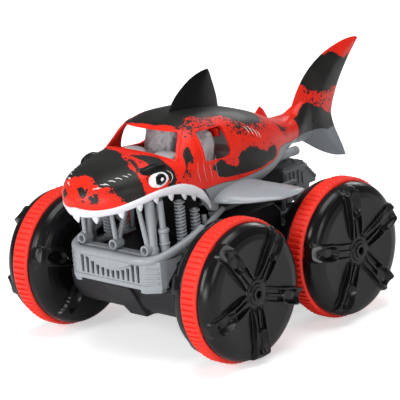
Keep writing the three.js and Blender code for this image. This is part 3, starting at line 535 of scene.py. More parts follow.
def skin_normal(y, phi):
    e = 0.05
    a = skin(y + e, phi) - skin(y - e, phi)
    b = skin(y, phi + e * 4) - skin(y, phi - e * 4)
    n = np.cross(b, a)
    n /= np.linalg.norm(n, axis=-1, keepdims=True) + 1e-12
    c = skin(y, phi) - np.stack([0 * y, y, section(np.ravel(y))[2].reshape(np.shape(y))], -1)
    return n * np.sign((n * c).sum(-1, keepdims=True) + 1e-12)


def ring_evenly(y, out, per_quarter):
    dense = np.concatenate([np.linspace(0, 1, 260) ** 2.2 * 45, 90 - np.linspace(1, 0, 260)[1:] ** 2.2 * 45])
    pts = []
    for q in range(4):
        ph = dense if q % 2 == 0 else 90 - dense[::-1]
        line = skin(np.full(len(ph), y), ph + 90 * q, out)
        d = np.concatenate([[0], np.cumsum(np.linalg.norm(np.diff(line, axis=0), axis=1))])
        t = np.linspace(0, d[-1], per_quarter, endpoint=False)
        pts.append(np.column_stack([np.interp(t, d, line[:, k]) for k in range(3)]))
    return np.vstack(pts)


def body_loft(out, y0, y1, ny=150, per_quarter=42, name="body"):
    t = np.linspace(0, 1, ny)
    ys = y0 + (y1 - y0) * t ** 1.45
    return loft(name, [ring_evenly(y, out, per_quarter) for y in ys])


def angle_of(v):
    """phi of points near the surface, and how deep under it they lie."""
    w, top, mid, bot, nu, nl = section(v[:, 1])
    up = v[:, 2] >= mid
    n = np.where(up, nu, nl)
    h = np.where(up, top - mid, mid - bot)
    a, b = np.abs(v[:, 0]) / w, np.abs(v[:, 2] - mid) / h
    f = (a ** n + b ** n) ** (1 / n)
    phi = np.degrees(np.arctan2((a / f) ** (n / 2), (b / f) ** (n / 2) * np.where(up, 1, -1)))
    return phi, (1 - f) * np.minimum(w, h)


# length along each cross-section, so that print edges are measured in mm
_ty = np.linspace(-119.4, 97, 110)
_tp = np.linspace(0, 180, 361)
_table = []
for _y in _ty:
    _l = skin(np.full(361, _y), _tp)
    _table.append(np.concatenate([[0], np.cumsum(np.linalg.norm(np.diff(_l, axis=0), axis=1))]))
_table = np.array(_table)


def along(y, phi):
    y, phi = np.asarray(y, float), np.asarray(phi, float)
    i = np.clip((y - _ty[0]) / (_ty[1] - _ty[0]), 0, len(_ty) - 1.001)
    j = np.clip(phi / 0.5, 0, 359.999)
    a, b = i.astype(int), j.astype(int)
    u, t = i - a, j - b
    q = _table
    return (q[a, b] * (1 - u) + q[a + 1, b] * u) * (1 - t) + (q[a, b + 1] * (1 - u) + q[a + 1, b + 1] * u) * t


def phi_at(y, length):
    y, length = np.broadcast_arrays(np.asarray(y, float), np.asarray(length, float))
    out = np.zeros(y.shape)
    for k in np.ndindex(y.shape):
        i = int(np.clip(round((y[k] - _ty[0]) / (_ty[1] - _ty[0])), 0, len(_ty) - 1))
        out[k] = np.interp(length[k], _table[i], _tp)
    return out


def signed(px, py, polygon):
    """Distance inside a polygon, negative outside it."""
    q = np.asarray(polygon, float)
    best = np.full(px.shape, 1e9)
    inside = np.zeros(px.shape, bool)
    for i in range(len(q)):
        a, b = q[i - 1], q[i]
        ab = b - a
        t = np.clip(((px - a[0]) * ab[0] + (py - a[1]) * ab[1]) / (ab @ ab + 1e-12), 0, 1)
        best = np.minimum(best, np.hypot(px - a[0] - t * ab[0], py - a[1] - t * ab[1]))
        cross = ((a[1] > py) != (b[1] > py)) & (px < (b[0] - a[0]) * (py - a[1]) / (b[1] - a[1] + 1e-12) + a[0])
        inside ^= cross
    return np.where(inside, best, -best)


def on_skin(polygon):
    """A (y, phi) outline as (y, length) points, with its edges filled in."""
    out = []
    for i in range(len(polygon)):
        a, b = np.array(polygon[i], float), np.array(polygon[(i + 1) % len(polygon)], float)
        for k in range(5):
            q = a + (b - a) * k / 5
            out.append((q[0], float(along(q[0], q[1])) if q[1] >= 0 else -float(along(q[0], -q[1]))))
    return out


# black areas as (y, phi) outlines; those wholly on one side are printed on both
INK = [
    [(-106.9, -38), (-106.9, -15), (-105.4, 0), (-106.9, 12), (-109.8, 28), (-108.9, 42), (-106, 54), (-103.3, 65), (-101.4, 77), (-100.1, 94),
     (-86.3, 92), (-86.9, 77), (-86.8, 65), (-86, 53), (-85.6, 40), (-85.2, 28), (-80.5, 19), (-79.2, 11), (-77.4, 5), (-73.0, 1), (-69.6, -7),
     (-68.4, -21), (-71.1, -38), (-78, -46), (-85.4, -53), (-86.8, -65), (-86.9, -77), (-86.3, -92), (-100.1, -94), (-101.4, -77), (-103.3, -65), (-106, -54)],
    [(-78.6, 37), (-79.1, 53), (-81.7, 57), (-81.8, 41)],
    [(-72.5, 10), (-69.6, 16), (-64.8, 26), (-62.6, 35), (-61.6, 50), (-59.9, 68), (-61.0, 78), (-62.8, 87), (-69.9, 85), (-66.5, 78), (-66, 70), (-69.4, 62),
     (-70.6, 51), (-73.9, 47), (-73.2, 31), (-73.3, 20)],
    [(-41, -28), (-41.5, -15), (-41, 1), (-39.1, 9), (-37.9, 20), (-32.8, 21), (-26.3, 15), (-20.2, 18), (-16.7, 26), (-9.5, 27), (0.4, 28), (4.5, 33),
     (7.7, 40), (15.5, 47), (25.1, 48), (37.6, 45), (42.5, 34), (44, 20), (46, 6), (46, -8), (44, -22), (42.5, -34), (37.6, -45), (25.1, -48), (15.5, -47),
     (7.7, -40), (4.5, -33), (0.4, -30), (-9.5, -28), (-16.7, -26), (-26.3, -20), (-34, -24)],
    [(-29.1, 83), (-23.3, 80), (-18.9, 78), (-14.6, 80), (-12.8, 82), (-2.8, 85), (-0.3, 83), (2.1, 77), (7.4, 76), (12.2, 73), (18.8, 74), (24.8, 78),
     (33.3, 81), (37.7, 78), (45.6, 77), (48.4, 84), (44.5, 88), (36.9, 88.6), (24.5, 89), (10, 89), (-4.3, 88.6), (-16, 88.4), (-22.5, 87.6), (-23.7, 85)],
    [(63, 45), (69, 44), (75, 52), (76, 60), (70, 61), (65, 53)],
    [(-115.2, -5), (-113.5, 5), (-114.9, 27), (-117.5, 45), (-118.0, 19)],
    [(-116.5, 48), (-112.5, 50), (-113.5, 78), (-116.7, 81)],
    [(-109.0, 58), (-104.9, 71), (-101.0, 90), (-95.8, 92), (-92, 80), (-99.3, 50)],
    [(-81.2, 0), (-84.0, 10), (-88.0, 31), (-86, 34), (-83, 20), (-79.8, 6)],
    [(-78.3, 7), (-76.7, 20), (-80, 34), (-83.2, 46), (-85, 46), (-81.4, 30), (-79, 18)],
    [(-47.6, 50), (-43.2, 47), (-42.2, 54), (-42.6, 66), (-47.9, 66), (-50.5, 80), (-51.5, 78), (-49.4, 62)],
]


def paint_body(o, depth_limit=0.7):
    v = coords(o)
    phi, depth = angle_of(v)
    y = np.clip(v[:, 1], -119.3, 97)
    s = along(y, phi) * np.where(v[:, 0] >= 0, 1.0, -1.0)
    ink = np.full(len(v), -30.0)
    for poly in INK:
        line = on_skin(poly)
        ink = np.maximum(ink, signed(y, s, line))
        if min(p[1] for p in poly) >= 0:
            ink = np.maximum(ink, signed(y, -s, line))

    def zone(y0, y1, p0, p1, soft=6):
        return smooth01(y0 - soft, y0 + soft, y) * smooth01(y1 + soft, y1 - soft, y) * smooth01(p0 - soft, p0 + soft, phi) * smooth01(p1 + soft, p1 - soft, phi)
    # how thickly droplets fall: round every print edge, far more beside the roof and on the quarters
    halo = smooth01(-4.5, 0.0, ink)
    wide = smooth01(-15, -0.5, ink)
    spot = 0.26 * halo + 0.10 * wide
    spot = spot + (0.46 + 0.3 * wide) * zone(-40, -9, 16, 44, 5) + (0.52 + 0.25 * wide) * zone(-4, 30, 32, 62, 5) + (0.30 + 0.2 * wide) * zone(30, 50, 30, 62, 5) + 0.22 * zone(-8, 48, 62, 82)
    spot = spot + 0.30 * zone(-52, -42, 62, 84, 4) + 0.20 * zone(-118, -108, 20, 80, 4) + 0.24 * zone(-66, -50, 70, 88, 4) + 0.26 * zone(50, 92, 20, 80) + 0.18 * zone(-84, -60, 8, 34, 4)
    amp = 0.6 + 1.3 * zone(-44, -8, 14, 44) + 1.4 * zone(-6, 48, 34, 62) + 0.5 * zone(-4, 46, 62, 84) + 0.5 * zone(-114, -96, 20, 90) + 0.5 * zone(-64, -30, 74, 90) + 0.7 * zone(40, 80, 10, 70)
    hidden = depth > depth_limit
    attribute(o, "ink", np.where(hidden, -9.0, np.maximum(ink, -9.0)))
    attribute(o, "amp", amp)
    attribute(o, "spot", np.where(hidden | (ink < -26), 0.0, np.minimum(spot + 0.05, 0.85)))
    attribute(o, "bare", np.where(hidden, 0.0, 0.34 * smooth01(4.0, 0.0, ink) * smooth01(-1.5, 0.5, ink) * (0.5 + zone(-46, 48, 14, 62) + 0.6 * zone(-118, -60, -10, 90)).clip(0, 1)))
    attribute(o, "grey", np.full(len(v), -9.0))


def decal(name, polar, material, out, dome=0.0, side=1, n=(14, 48)):
    """Patch on the skin: polar(t) gives centre and half sizes in mm (y, along)."""
    y0, s0, a, b, tilt = polar
    r = np.linspace(0, 1, n[0])[1:]
    th = np.linspace(0, 2 * math.pi, n[1], endpoint=False)
    R, T = np.meshgrid(r, th, indexing="ij")
    u, w = a * R * np.cos(T), b * R * np.sin(T)
    yy = y0 + u * math.cos(tilt) - w * math.sin(tilt)
    ss = s0 + u * math.sin(tilt) + w * math.cos(tilt)
    ph = phi_at(yy, ss)
    p = skin(yy, ph) + skin_normal(yy, ph) * (out + dome * (1 - R[..., None] ** 2) ** 0.8)
    pc = phi_at(np.array([y0]), np.array([s0]))
    c = skin(np.array([y0]), pc) + skin_normal(np.array([y0]), pc) * (out + dome)
    inner = skin(yy[-1], ph[-1]) - skin_normal(yy[-1], ph[-1]) * 0.5
    cin = c - skin_normal(np.array([y0]), pc) * (out + dome + 0.5)
    v = np.vstack([c, p.reshape(-1, 3), inner, cin])
    k = n[1]
    f = [(0, 1 + j, 1 + (j + 1) % k) for j in range(k)]
    for i in range(len(r)):
        for j in range(k):
            f.append((1 + i * k + j, 1 + (i + 1) * k + j, 1 + (i + 1) * k + (j + 1) % k, 1 + i * k + (j + 1) % k))
    last = len(v) - 1
    f += [(1 + len(r) * k + j, last, 1 + len(r) * k + (j + 1) % k) for j in range(k)]
    v[:, 0] *= side
    return outward(put(name, v, f))


def stroke(points, width, out=0.06, side=1, n=26):
    """Thin tapered printed line through (y, phi) points on the skin."""
    c = curve(np.array([(a, float(along(a, b))) for a, b in points]), n)
    t = np.gradient(c, axis=0)
    t /= np.linalg.norm(t, axis=1)[:, None]
    nrm = np.column_stack([-t[:, 1], t[:, 0]])
    w = width * np.sin(np.linspace(0.12, math.pi - 0.12, n)) ** 0.7 / 2
    rows = []
    for e, o_ in ((1, out), (-1, out), (-1, -0.25), (1, -0.25)):
        q = c + nrm * (w * e)[:, None]
        ph = phi_at(q[:, 0], q[:, 1])
        rows.append(skin(q[:, 0], ph) + skin_normal(q[:, 0], ph) * o_)
    rings = [np.array([rows[k][i] for k in range(4)]) * (side, 1, 1) for i in range(n)]
    return loft("stroke", rings)


FOOT = [(-126, 115.3), (-120.6, 115.3), (-117, 112.7), (-108, 113.8), (-92.5, 116.6), (-81.4, 119), (-65.6, 118.9), (-53.4, 116.5),
        (-41, 112.3), (-36, 110.9), (-22.5, 110.9), (0.5, 108.8), (25.4, 108.9), (46.5, 111), (56, 116), (70, 114.5), (85, 111.5), (112, 109)]
LIP_TOP = [(-126, 115), (-120.6, 115), (-117, 112.4), (-108, 113.5), (-92.5, 116.3), (-81.4, 118.7), (-65.6, 118.6), (-53.4, 116.2),
           (-41, 112), (-36.4, 109.8), (-33, 105), (-29.6, 94.8)]
LIP_FOOT = [(-126, 110), (-119.8, 110), (-115, 106.4), (-105.6, 108.6), (-93, 110.9), (-82, 113.1), (-70, 113.1), (-54, 109.7), (-42, 103.2), (-34, 96)]


def fine(line, n):
    y = np.linspace(line[0][0], line[-1][0], n)
    return list(zip(y, pchip([p[0] for p in line], [p[1] for p in line], y)))


EDGE = fine(FOOT, 150)


def above(dz=0.0):
    return prism([(y, z + dz) for y, z in EDGE] + [(112, 190), (-126, 190)], "x", -70, 70)


def windows(grow=0.0):
    g = grow
    w1 = prism(rounded([(-80, 150.3 + g), (-62 - g, 139.6), (-47 - g, 130.6 - g), (-20, 129 - g), (-20, 150.3 + g)], 1.6), "x", -60, 60)
    w2 = prism(rounded([(-36.5 - g, 129 - g), (36.5 + g, 129 - g), (25 + g, 150.5 + g), (-25 - g, 150.5 + g)], 5, 6), "y", -90, -20)
    boolean(w1, w2, "INTERSECT")
    door = prism(rounded([(-33 - g, 149.2 + g), (-7.6 + g, 147.8 + g), (-5.3 + g, 128 - g), (-12, 127 - g), (-33.2 - g, 128.8 - g)], 3.2, 5), "x", -60, 60)
    return [w1, door]


def build_body():
    shell = body_loft(0, -119.5, 97)
    inner = body_loft(-1.8, -117.4, 99, 110, 34)
    boolean(shell, inner, "DIFFERENCE")
    belly = copy_of(shell)
    # raised rims round the openings
    rims = body_loft(0.55, -119.0, 97, 130, 40)
    boolean(rims, body_loft(-1.2, -117.4, 99, 110, 34), "DIFFERENCE")
    frame_cut = windows(1.5)
    keep = frame_cut[0]
    for extra in frame_cut[1:]:
        boolean(keep, extra, "UNION")
    boolean(rims, keep, "INTERSECT")
    boolean(rims, windows(), "DIFFERENCE")
    boolean(shell, above(), "INTERSECT")
    boolean(shell, rims, "UNION")
    boolean(shell, windows(), "DIFFERENCE")
    shell.name = "body_shell_fine"
    paint_body(shell)
    finish(shell, PAINT, replaces=["body_shell"], smooth=32)

    low = [(-35.9, 110.6), (-22.5, 110.6), (0.5, 108.5), (25.4, 108.6), (46.5, 110.7), (56, 115.7), (70, 114.2), (85, 111.2), (97, 109.9)]
    top = fine(low, 80)
    zone = prism(top + [(97, 85), (-29, 85), (-29, 94.8), (-31, 101), (-32.6, 105)], "x", -70, 70)
    boolean(belly, zone, "INTERSECT")
    stubs = []
    for s in (1, -1):
        tube = sweep("exhaust", curve([(s * 24, 52, 106.5), (s * 24.4, 62, 106.6), (s * 23.6, 72, 106.5), (s * 23, 80, 106.3)], 20), 3.1, 22, False)
        ring = sweep("exhaust_ring", np.array([(s * 23.25, 76.5, 106.4), (s * 23.1, 78.4, 106.35), (s * 23, 80.4, 106.3)]), 3.6, 8, False)
        hole = sweep("exhaust_hole", np.array([(s * 23.4, 73, 106.4), (s * 23, 82, 106.3)]), 2.3, 18, False)
        boolean(tube, ring, "UNION")
        boolean(tube, hole, "DIFFERENCE")
        stubs.append(tube)
    for t in stubs:
        boolean(belly, t, "UNION")
    belly.name = "belly_shell_fine"
    finish(belly, GREY, replaces=["belly_shell"], smooth=32)

    # white lip with its teeth: an oval bead along the mouth line, pointed at its corners
    def at_z(y, z, cap):
        W, T, M, B, NU, NL = [float(q[0]) for q in section(np.array([y]))]
        t = (M - z) / (M - B) if z < M else 0.0
        return W * (1 - min(cap, max(0.0, t)) ** NL) ** (1 / NL)
    seen_top = [(-114, 112.7), (-107, 113.9), (-97, 116.2), (-87, 118.4), (-76.9, 120.0), (-62.6, 120.4), (-51.7, 118.1), (-43, 113.9)]
    seen_foot = [(-114, 107.2), (-105.6, 108.8), (-97.7, 110.8), (-88.3, 113.3), (-80.8, 115.0), (-72.4, 115.2), (-63.5, 114.2), (-52.9, 111.2), (-45, 107.4)]
    top, foot = [(0, -120.6, 114.2), (6.4, -118.9, 113.2)], [(0, -119.6, 109.0), (5.8, -117.6, 107.8)]
    for yy in (-112, -105, -97, -88, -78, -68, -58, -49):
        for line, tab, cap in ((top, seen_top, 0.9), (foot, seen_foot, 0.76)):
            zz = float(pchip([p[0] for p in tab], [p[1] for p in tab], yy))
            line.append((at_z(yy, zz, cap), yy, zz))
    for xa, ya, za, xb, yb, zb in ((41.3, -42.5, 113.6, 40.8, -44.6, 107.6), (41.7, -38.4, 110.2, 41.0, -40.2, 104.9), (41.5, -34.6, 105.4, 40.6, -36.2, 101.8), (40.6, -31.0, 100.2, 39.8, -32.2, 98.2), (39.6, -28.8, 96.4, 39.0, -29.9, 94.4)):
        top.append((xa, ya, za))
        foot.append((xb, yb, zb))
    both = []
    for line in (top, foot):
        line = [(-x, y, z) for x, y, z in line[:0:-1]] + line
        both.append(curve(line, 260))
    mid, half_ = (both[0] + both[1]) / 2, (both[0] - both[1]) / 2
    run = np.gradient(mid, axis=0)
    nrm = np.cross(run, half_)
    nrm /= np.linalg.norm(nrm, axis=1)[:, None]
    nrm *= np.sign((nrm * (mid - np.column_stack([np.zeros(260), np.minimum(mid[:, 1] + 20, 0), np.full(260, 118.0)]))).sum(1))[:, None]
    k = np.linspace(-1, 1, 260)
    thick = 1.7 * np.clip(1 - np.abs(k) ** 16, 0.3, 1)
    th = np.linspace(0, 2 * math.pi, 40, endpoint=False)
    ca, sa_ = np.cos(th), np.sin(th)
    rings = [mid[i] - nrm[i] * 0.35 + half_[i] * 1.06 * (np.sign(ca) * np.abs(ca) ** 0.85)[:, None] + nrm[i] * thick[i] * (np.sign(sa_) * np.abs(sa_) ** 0.85)[:, None] for i in range(260)]
    lip = loft("lip_strip", rings)
    finish(lip, WHITE, replaces=["jaw_trim"], smooth=60)
    ty, tz = [-120] + [p[0] for p in seen_foot], [107.4] + [p[1] for p in seen_foot]
    fangs = []
    for y, w, h in ((-118.6, 2.5, 4.2), (-111.6, 2.8, 5.6), (-101.5, 2.7, 5.0), (-90.5, 2.7, 4.8), (-78.5, 2.6, 4.5), (-66.5, 2.7, 5.0), (-55, 2.4, 4.4), (-46.5, 2.0, 3.6)):
        z = float(pchip(ty, tz, y))
        W, T, M, B, NU, NL = [float(q[0]) for q in section(np.array([y]))]
        def at(yy):
            W, T, M, B, NU, NL = [float(q[0]) for q in section(np.array([yy]))]
            t = min(0.96, max(0.0, (M - z) / (M - B)))
            return (W - 0.5) * (1 - t ** NL) ** (1 / NL)
        x = at(y)
        d = np.array([at(y + 1) - at(y - 1), 2.0])
        d /= np.linalg.norm(d)
        for s in (1, -1):
            if y < -118 and s < 0:
                continue
            cx, dd = (0.0, np.array([1.0, 0.0])) if y < -118 else (s * (x - 0.4), np.array([s * d[0], d[1]]))
            nn = np.array([dd[1], -dd[0]])
            rings = []
            for k in np.linspace(0, 1, 12):
                rr = (1 - k ** 1.9) ** 0.75 if k < 1 else 0.0
                rr = max(rr, 0.03)
                zc = z + 1.6 - (h + 1.6) * k
                lean = 0.8 * k * k
                a = np.linspace(0, 2 * math.pi, 18, endpoint=False)
                c = np.array([cx, y]) - dd * 0 + nn * 0
                pts = [(c[0] + dd[0] * w * rr * math.cos(t) + nn[0] * 0.62 * w * rr * math.sin(t),
                        c[1] + dd[1] * w * rr * math.cos(t) + nn[1] * 0.62 * w * rr * math.sin(t) + lean, zc) for t in a]
                rings.append(np.array(pts))
            fangs.append(loft("fang", rings))
    finish(gather("lip_teeth", fangs), WHITE, replaces=["jaw_trim"], smooth=50)

    # grey cheek that closes the corner of the mouth
    for tag, s in (("left", 1), ("right", -1)):
        cheek = prism(rounded([(-37.5, 110.4), (-21.6, 110), (-20.4, 97), (-22.0, 91.4), (-27.8, 92.4), (-32.6, 99)], 2.0, 5), "x", min(s * 33.5, s * 39.5), max(s * 33.5, s * 39.5))
        cheek = soften(cheek, 1.5, 4, 40)
        cheek.name = f"mouth_corner_{tag}"
        finish(cheek, GREY, smooth=60)

    # eyes: a domed white, a dark disc and a small glint
    for tag, s in (("left", 1), ("right", -1)):
        sa = float(along(-74.4, 70))
        e = decal(f"eye_{tag}_white", (-74.4, sa, 8.0, 4.9, 0.3), EYEW, 0.35, 0.9, s)
        finish(e, EYEW, smooth=60)
        p = decal(f"eye_{tag}_dark", (-73.4, sa + 0.5, 4.6, 3.5, 0.25), EYEB, 1.02, 0.5, s)
        finish(p, EYEB, smooth=60)
        g = decal(f"eye_{tag}_glint", (-72.6, sa + 1.2, 1.25, 1.0, 0.1), EYEW, 1.62, 0.12, s, (6, 24))
        finish(g, EYEW, smooth=60)
        lid = []
        for pts, w in (([(-82.8, 69), (-81.6, 61), (-77.4, 56.6), (-71.6, 56.8), (-67.2, 64), (-66, 73)], 1.1), ([(-65.4, 60), (-63.2, 66), (-63.6, 74), (-66.6, 80)], 0.4)):
            lid.append(stroke(pts, w, 0.25, s, 40))
        finish(lid[0], EYEB)
        lid[0].name = f"eye_{tag}_lid"
        finish(lid[1], INKW)
        lid[1].name = f"eye_{tag}_line"
        marks = [stroke(p, w, 0.07, s) for p, w in (
            ([(-112.6, 34), (-110.6, 38), (-109.4, 43)], 0.55), ([(-108.4, 35), (-106.2, 40), (-105.2, 46)], 0.6), ([(-103.6, 36), (-101.8, 41), (-101, 46)], 0.55),
            ([(-99.6, 38), (-97.4, 42), (-96.6, 47)], 0.6), ([(-94.4, 40), (-92.8, 44), (-92.2, 48)], 0.5), ([(-90.6, 41), (-89.2, 45)], 0.45),
            ([(13.5, 50), (16, 55), (17, 60)], 0.7), ([(17.4, 50), (20.2, 56), (21, 62)], 0.75), ([(21.6, 53), (24.4, 59), (25, 65)], 0.65), ([(26, 57), (28, 62), (28.2, 67)], 0.55))]
        finish(gather(f"scratch_print_{tag}", marks), INKW)
        gills = [stroke(p, 0.3, 0.05, s) for p in (
            [(-40, 72), (-41.5, 80), (-40, 88)], [(-34, 71), (-35.6, 80), (-34, 88.2)], [(-28, 72), (-29.6, 80), (-28, 88.4)], [(-22.4, 74), (-23.8, 81), (-22.4, 88.4)])]
        finish(gather(f"gill_lines_{tag}", gills), INKG)
    # black brow bumps at the front of the bonnet
    for tag, s in (("left", 1), ("right", -1)):
        k = np.linspace(0, 1, 26)
        rings = []
        th = np.linspace(0, 2 * math.pi, 40, endpoint=False)
        for t in k:
            rad = math.sqrt(max(0.0, 1 - (2 * t - 1) ** 2)) ** 0.9
            y = -84 + 21 * t
            c = skin(np.array([y]), np.array([49.0 + 2 * t]))[0]
            n = skin_normal(np.array([y]), np.array([49.0 + 2 * t]))[0]
            c = c - n * 1.0
            side = np.cross(n, np.array([0, 1.0, 0]))
            side /= np.linalg.norm(side)
            q = c[None] + side[None] * (4.1 * max(rad, 0.02) * np.cos(th))[:, None] + n[None] * ((3.9 * max(rad, 0.02)) * np.sin(th))[:, None]
            rings.append(q * (s, 1, 1))
        o = loft(f"brow_ridge_{tag}", rings)
        finish(o, BLACK, smooth=70)


build_body()


# ------------------------------------------------------------------------ fins
def fin(name, lead, trail, half, rows=70, across=30, power=0.8, crease=False, root_extra=None):
    a = curve([(0, *p) for p in lead], rows)[:, 1:]
    b = curve([(0, *p) for p in trail], rows)[:, 1:]
    r = np.linspace(0, 1, rows)
    h = pchip(np.linspace(0, 1, len(half)), half, r)
    h[1:] = np.maximum(h[1:], 0.25)
    t = 0.5 - 0.5 * np.cos(np.linspace(0, math.pi, across + 1))
    shape = (1 - np.abs(2 * t - 1) ** 1.25) * float(crease) + np.sin(math.pi * t) ** power * (1 - float(crease))
    rings = []
    for i in range(rows):
        q = a[i] + (b[i] - a[i]) * t[:, None]
        up = np.column_stack([h[i] * shape, q])
        dn = np.column_stack([-h[i] * shape, q])[::-1]
        rings.append(np.vstack([up, dn[1:-1]]))
    rings[0][:, 0] *= 0.02
    return loft(name, rings)


def build_fins():
    d = fin("dorsal", [(17.7, 178.4), (10, 177.6), (0, 174.8), (-9, 170.2), (-16, 165.4), (-21, 160), (-24, 154), (-25, 147)],
            [(19.8, 178.2), (21.5, 174.5), (22.8, 170), (24.2, 165.5), (25.4, 161), (26.3, 157), (27, 151), (27.4, 146)],
            [0.5, 1.4, 2.2, 3.0, 3.8, 4.6, 5.4, 6.4], power=0.9)
    boolean(d, body_loft(-0.6, -118, 97, 90, 30), "DIFFERENCE")
    d.name = "dorsal_fin_fine"
    finish(d, BLACK, replaces=["dorsal_fin"], smooth=40)
    r = fin("rear_fin", [(69.5, 138.6), (67, 136.6), (64.5, 134.4), (62, 131.8), (59.5, 126)],
            [(70.8, 138.4), (74, 135.6), (76, 132.5), (77.8, 129.4), (79, 124)], [0.4, 1.2, 1.9, 2.6, 3.2], 40, 24, 0.9)
    boolean(r, body_loft(-0.6, -118, 97, 90, 30), "DIFFERENCE")
    r.name = "rear_dorsal_fin_fine"
    finish(r, RED, replaces=["rear_dorsal_fin"], smooth=45)

    up = fin("tail_up", [(183.4, 164.8), (179.9, 166.2), (171, 166.6), (162, 165.8), (150.5, 163.6), (139.8, 160.4), (129, 155.2), (120, 149), (112.5, 141.5), (106, 132.5), (101.5, 124)],
             [(183.6, 164.2), (179.5, 160.2), (173, 154), (167.4, 148), (161.8, 141.4), (157.6, 135.6), (154.3, 130.1), (151.4, 124.5), (149.2, 119), (148, 113), (149, 106)],
             [0.5, 1.0, 1.8, 2.5, 3.2, 3.9, 4.5, 5.0, 5.4, 5.7, 5.7], 130, 44, 0.85, crease=0.6)
    lo = fin("tail_low", [(161, 79.6), (151, 81.9), (143, 85), (135, 88.8), (127, 93.4), (119, 98.6), (111, 104), (104, 112)],
             [(161.8, 80), (159.6, 86), (157, 91.5), (154.4, 97), (151.8, 102.5), (149.6, 108.5), (148.4, 114), (148.6, 121)],
             [0.4, 1.1, 2.0, 3.0, 4.0, 5.0, 5.7, 5.8], 90, 40, crease=True)
    k = np.array([(97.4, 12.5, 104, 126), (101, 11.6, 103.4, 126.6), (107, 9.6, 102.6, 129.5), (114, 7.2, 102, 133), (122, 4.6, 101.6, 136), (132, 2, 102, 136)])
    ys = np.linspace(97.4, 132, 60)
    th = np.linspace(0, 2 * math.pi, 60, endpoint=False)
    w, b, t = [pchip(k[:, 0], k[:, c], ys) for c in (1, 2, 3)]
    root = loft("tail_root", [np.column_stack([w[i] * np.sin(th), np.full(60, ys[i]), (b[i] + t[i]) / 2 + (t[i] - b[i]) / 2 * np.cos(th)]) for i in range(60)])
    plug = bar((0, 90, 115), (0, 98.4, 115), 7.4, 40)
    boolean(up, [lo, root, plug], "UNION")
    up.name = "tail_fin_fine"
    v = coords(up)
    x = np.abs(v[:, 0])
    y, z = v[:, 1] + 1.04 * x, v[:, 2] - 0.42 * x
    # printed zones in the side view: tip red, black, red strip with speckle, black, grey lobe
    ink = np.full(len(v), -9.0)
    for poly in TAIL_INK:
        ink = np.maximum(ink, signed(y, z, poly))
    band = smooth01(-2, 1.5, signed(y, z, TAIL_SPECK))
    attribute(up, "ink", ink)
    attribute(up, "amp", 0.9 + 0.9 * band)
    attribute(up, "bare", 0.3 * smooth01(3.5, 0.0, ink) * smooth01(-1.5, 0.5, ink))
    attribute(up, "spot", np.minimum(0.8, 0.24 * smooth01(-4, 0, ink) + 0.5 * band))
    attribute(up, "grey", signed(y, z, TAIL_GREY))
    finish(up, PAINT, replaces=["tail_fin"], smooth=38)

    # pectoral fins: flattened ovals from root to tip
    S = np.array([(33, -27, 16, 98.8, 9.6, 3.4), (42, -26.5, 19.6, 98.8, 8.8, 3.4), (50, -24.5, 22.6, 98.7, 7.2, 2.8), (58, -20.5, 25, 98.7, 5.7, 2.4),
                  (66, -14.5, 26.6, 98.9, 4.3, 2), (73, -6.5, 26.6, 99.1, 3.0, 1.6), (78, -0.5, 25.0, 99.2, 2.2, 1.3), (80.6, 4, 22.5, 99.3, 1.4, 0.9)])
    xs = 33 + 47.8 * np.sin(np.linspace(0, math.pi / 2, 70)) ** 1.0
    q = [pchip(S[:, 0], S[:, c], np.minimum(xs, 80.6)) for c in range(1, 6)]
    end = np.sqrt(np.clip((80.8 - xs) / 3.0, 0, 1)).clip(0.06, 1)
    th = np.linspace(0, 2 * math.pi, 72, endpoint=False)
    rings = []
    for i in range(len(xs)):
        y0, y1, z, u, d_ = [c[i] for c in q]
        m, r_ = (y0 + y1) / 2, (y1 - y0) / 2 * end[i]
        s = np.sin(th)
        rings.append(np.column_stack([np.full(72, xs[i]), m + r_ * np.cos(th), z + np.where(s > 0, u * end[i] * np.abs(s) ** 0.9, -d_ * end[i] * np.abs(s) ** 0.9)]))
    p = loft("pectoral", rings)
    boolean(p, body_loft(-0.5, -118, 97, 90, 30), "DIFFERENCE")
    p.name = "pectoral_fin_left_fine"
    o = mirrored(p, "pectoral_fin_right_fine")
    finish(p, PALE, replaces=["pectoral_fin_left"], smooth=50)
    finish(o, PALE, replaces=["pectoral_fin_right"], smooth=50)


TAIL_INK = [
    [(144, 160), (149, 161), (155, 160), (160, 156), (167, 152), (171, 156), (171, 146), (160, 131), (156, 134), (151, 134), (146, 132), (137, 133), (131, 136), (123, 137), (120, 142),
     (115, 145), (116, 152), (126, 160), (138, 166)],
    [(117, 129), (123, 129), (130, 125), (138, 121), (143, 117), (147, 115), (153, 112), (156, 102), (143, 101), (135, 103), (128, 104), (119, 104), (107, 103), (104, 119), (109, 122)],
]
TAIL_SPECK = [(120, 142), (123, 137), (131, 136), (137, 133), (151, 134), (156, 132), (151, 124), (148, 116), (136, 123), (123, 129), (117, 130), (116, 136)]
TAIL_GREY = [(99, 103), (107, 106), (119, 107), (128, 107), (135, 106), (143, 103.6), (149, 104.6), (158, 107), (172, 107), (172, 70), (130, 70), (96, 96)]

build_fins()


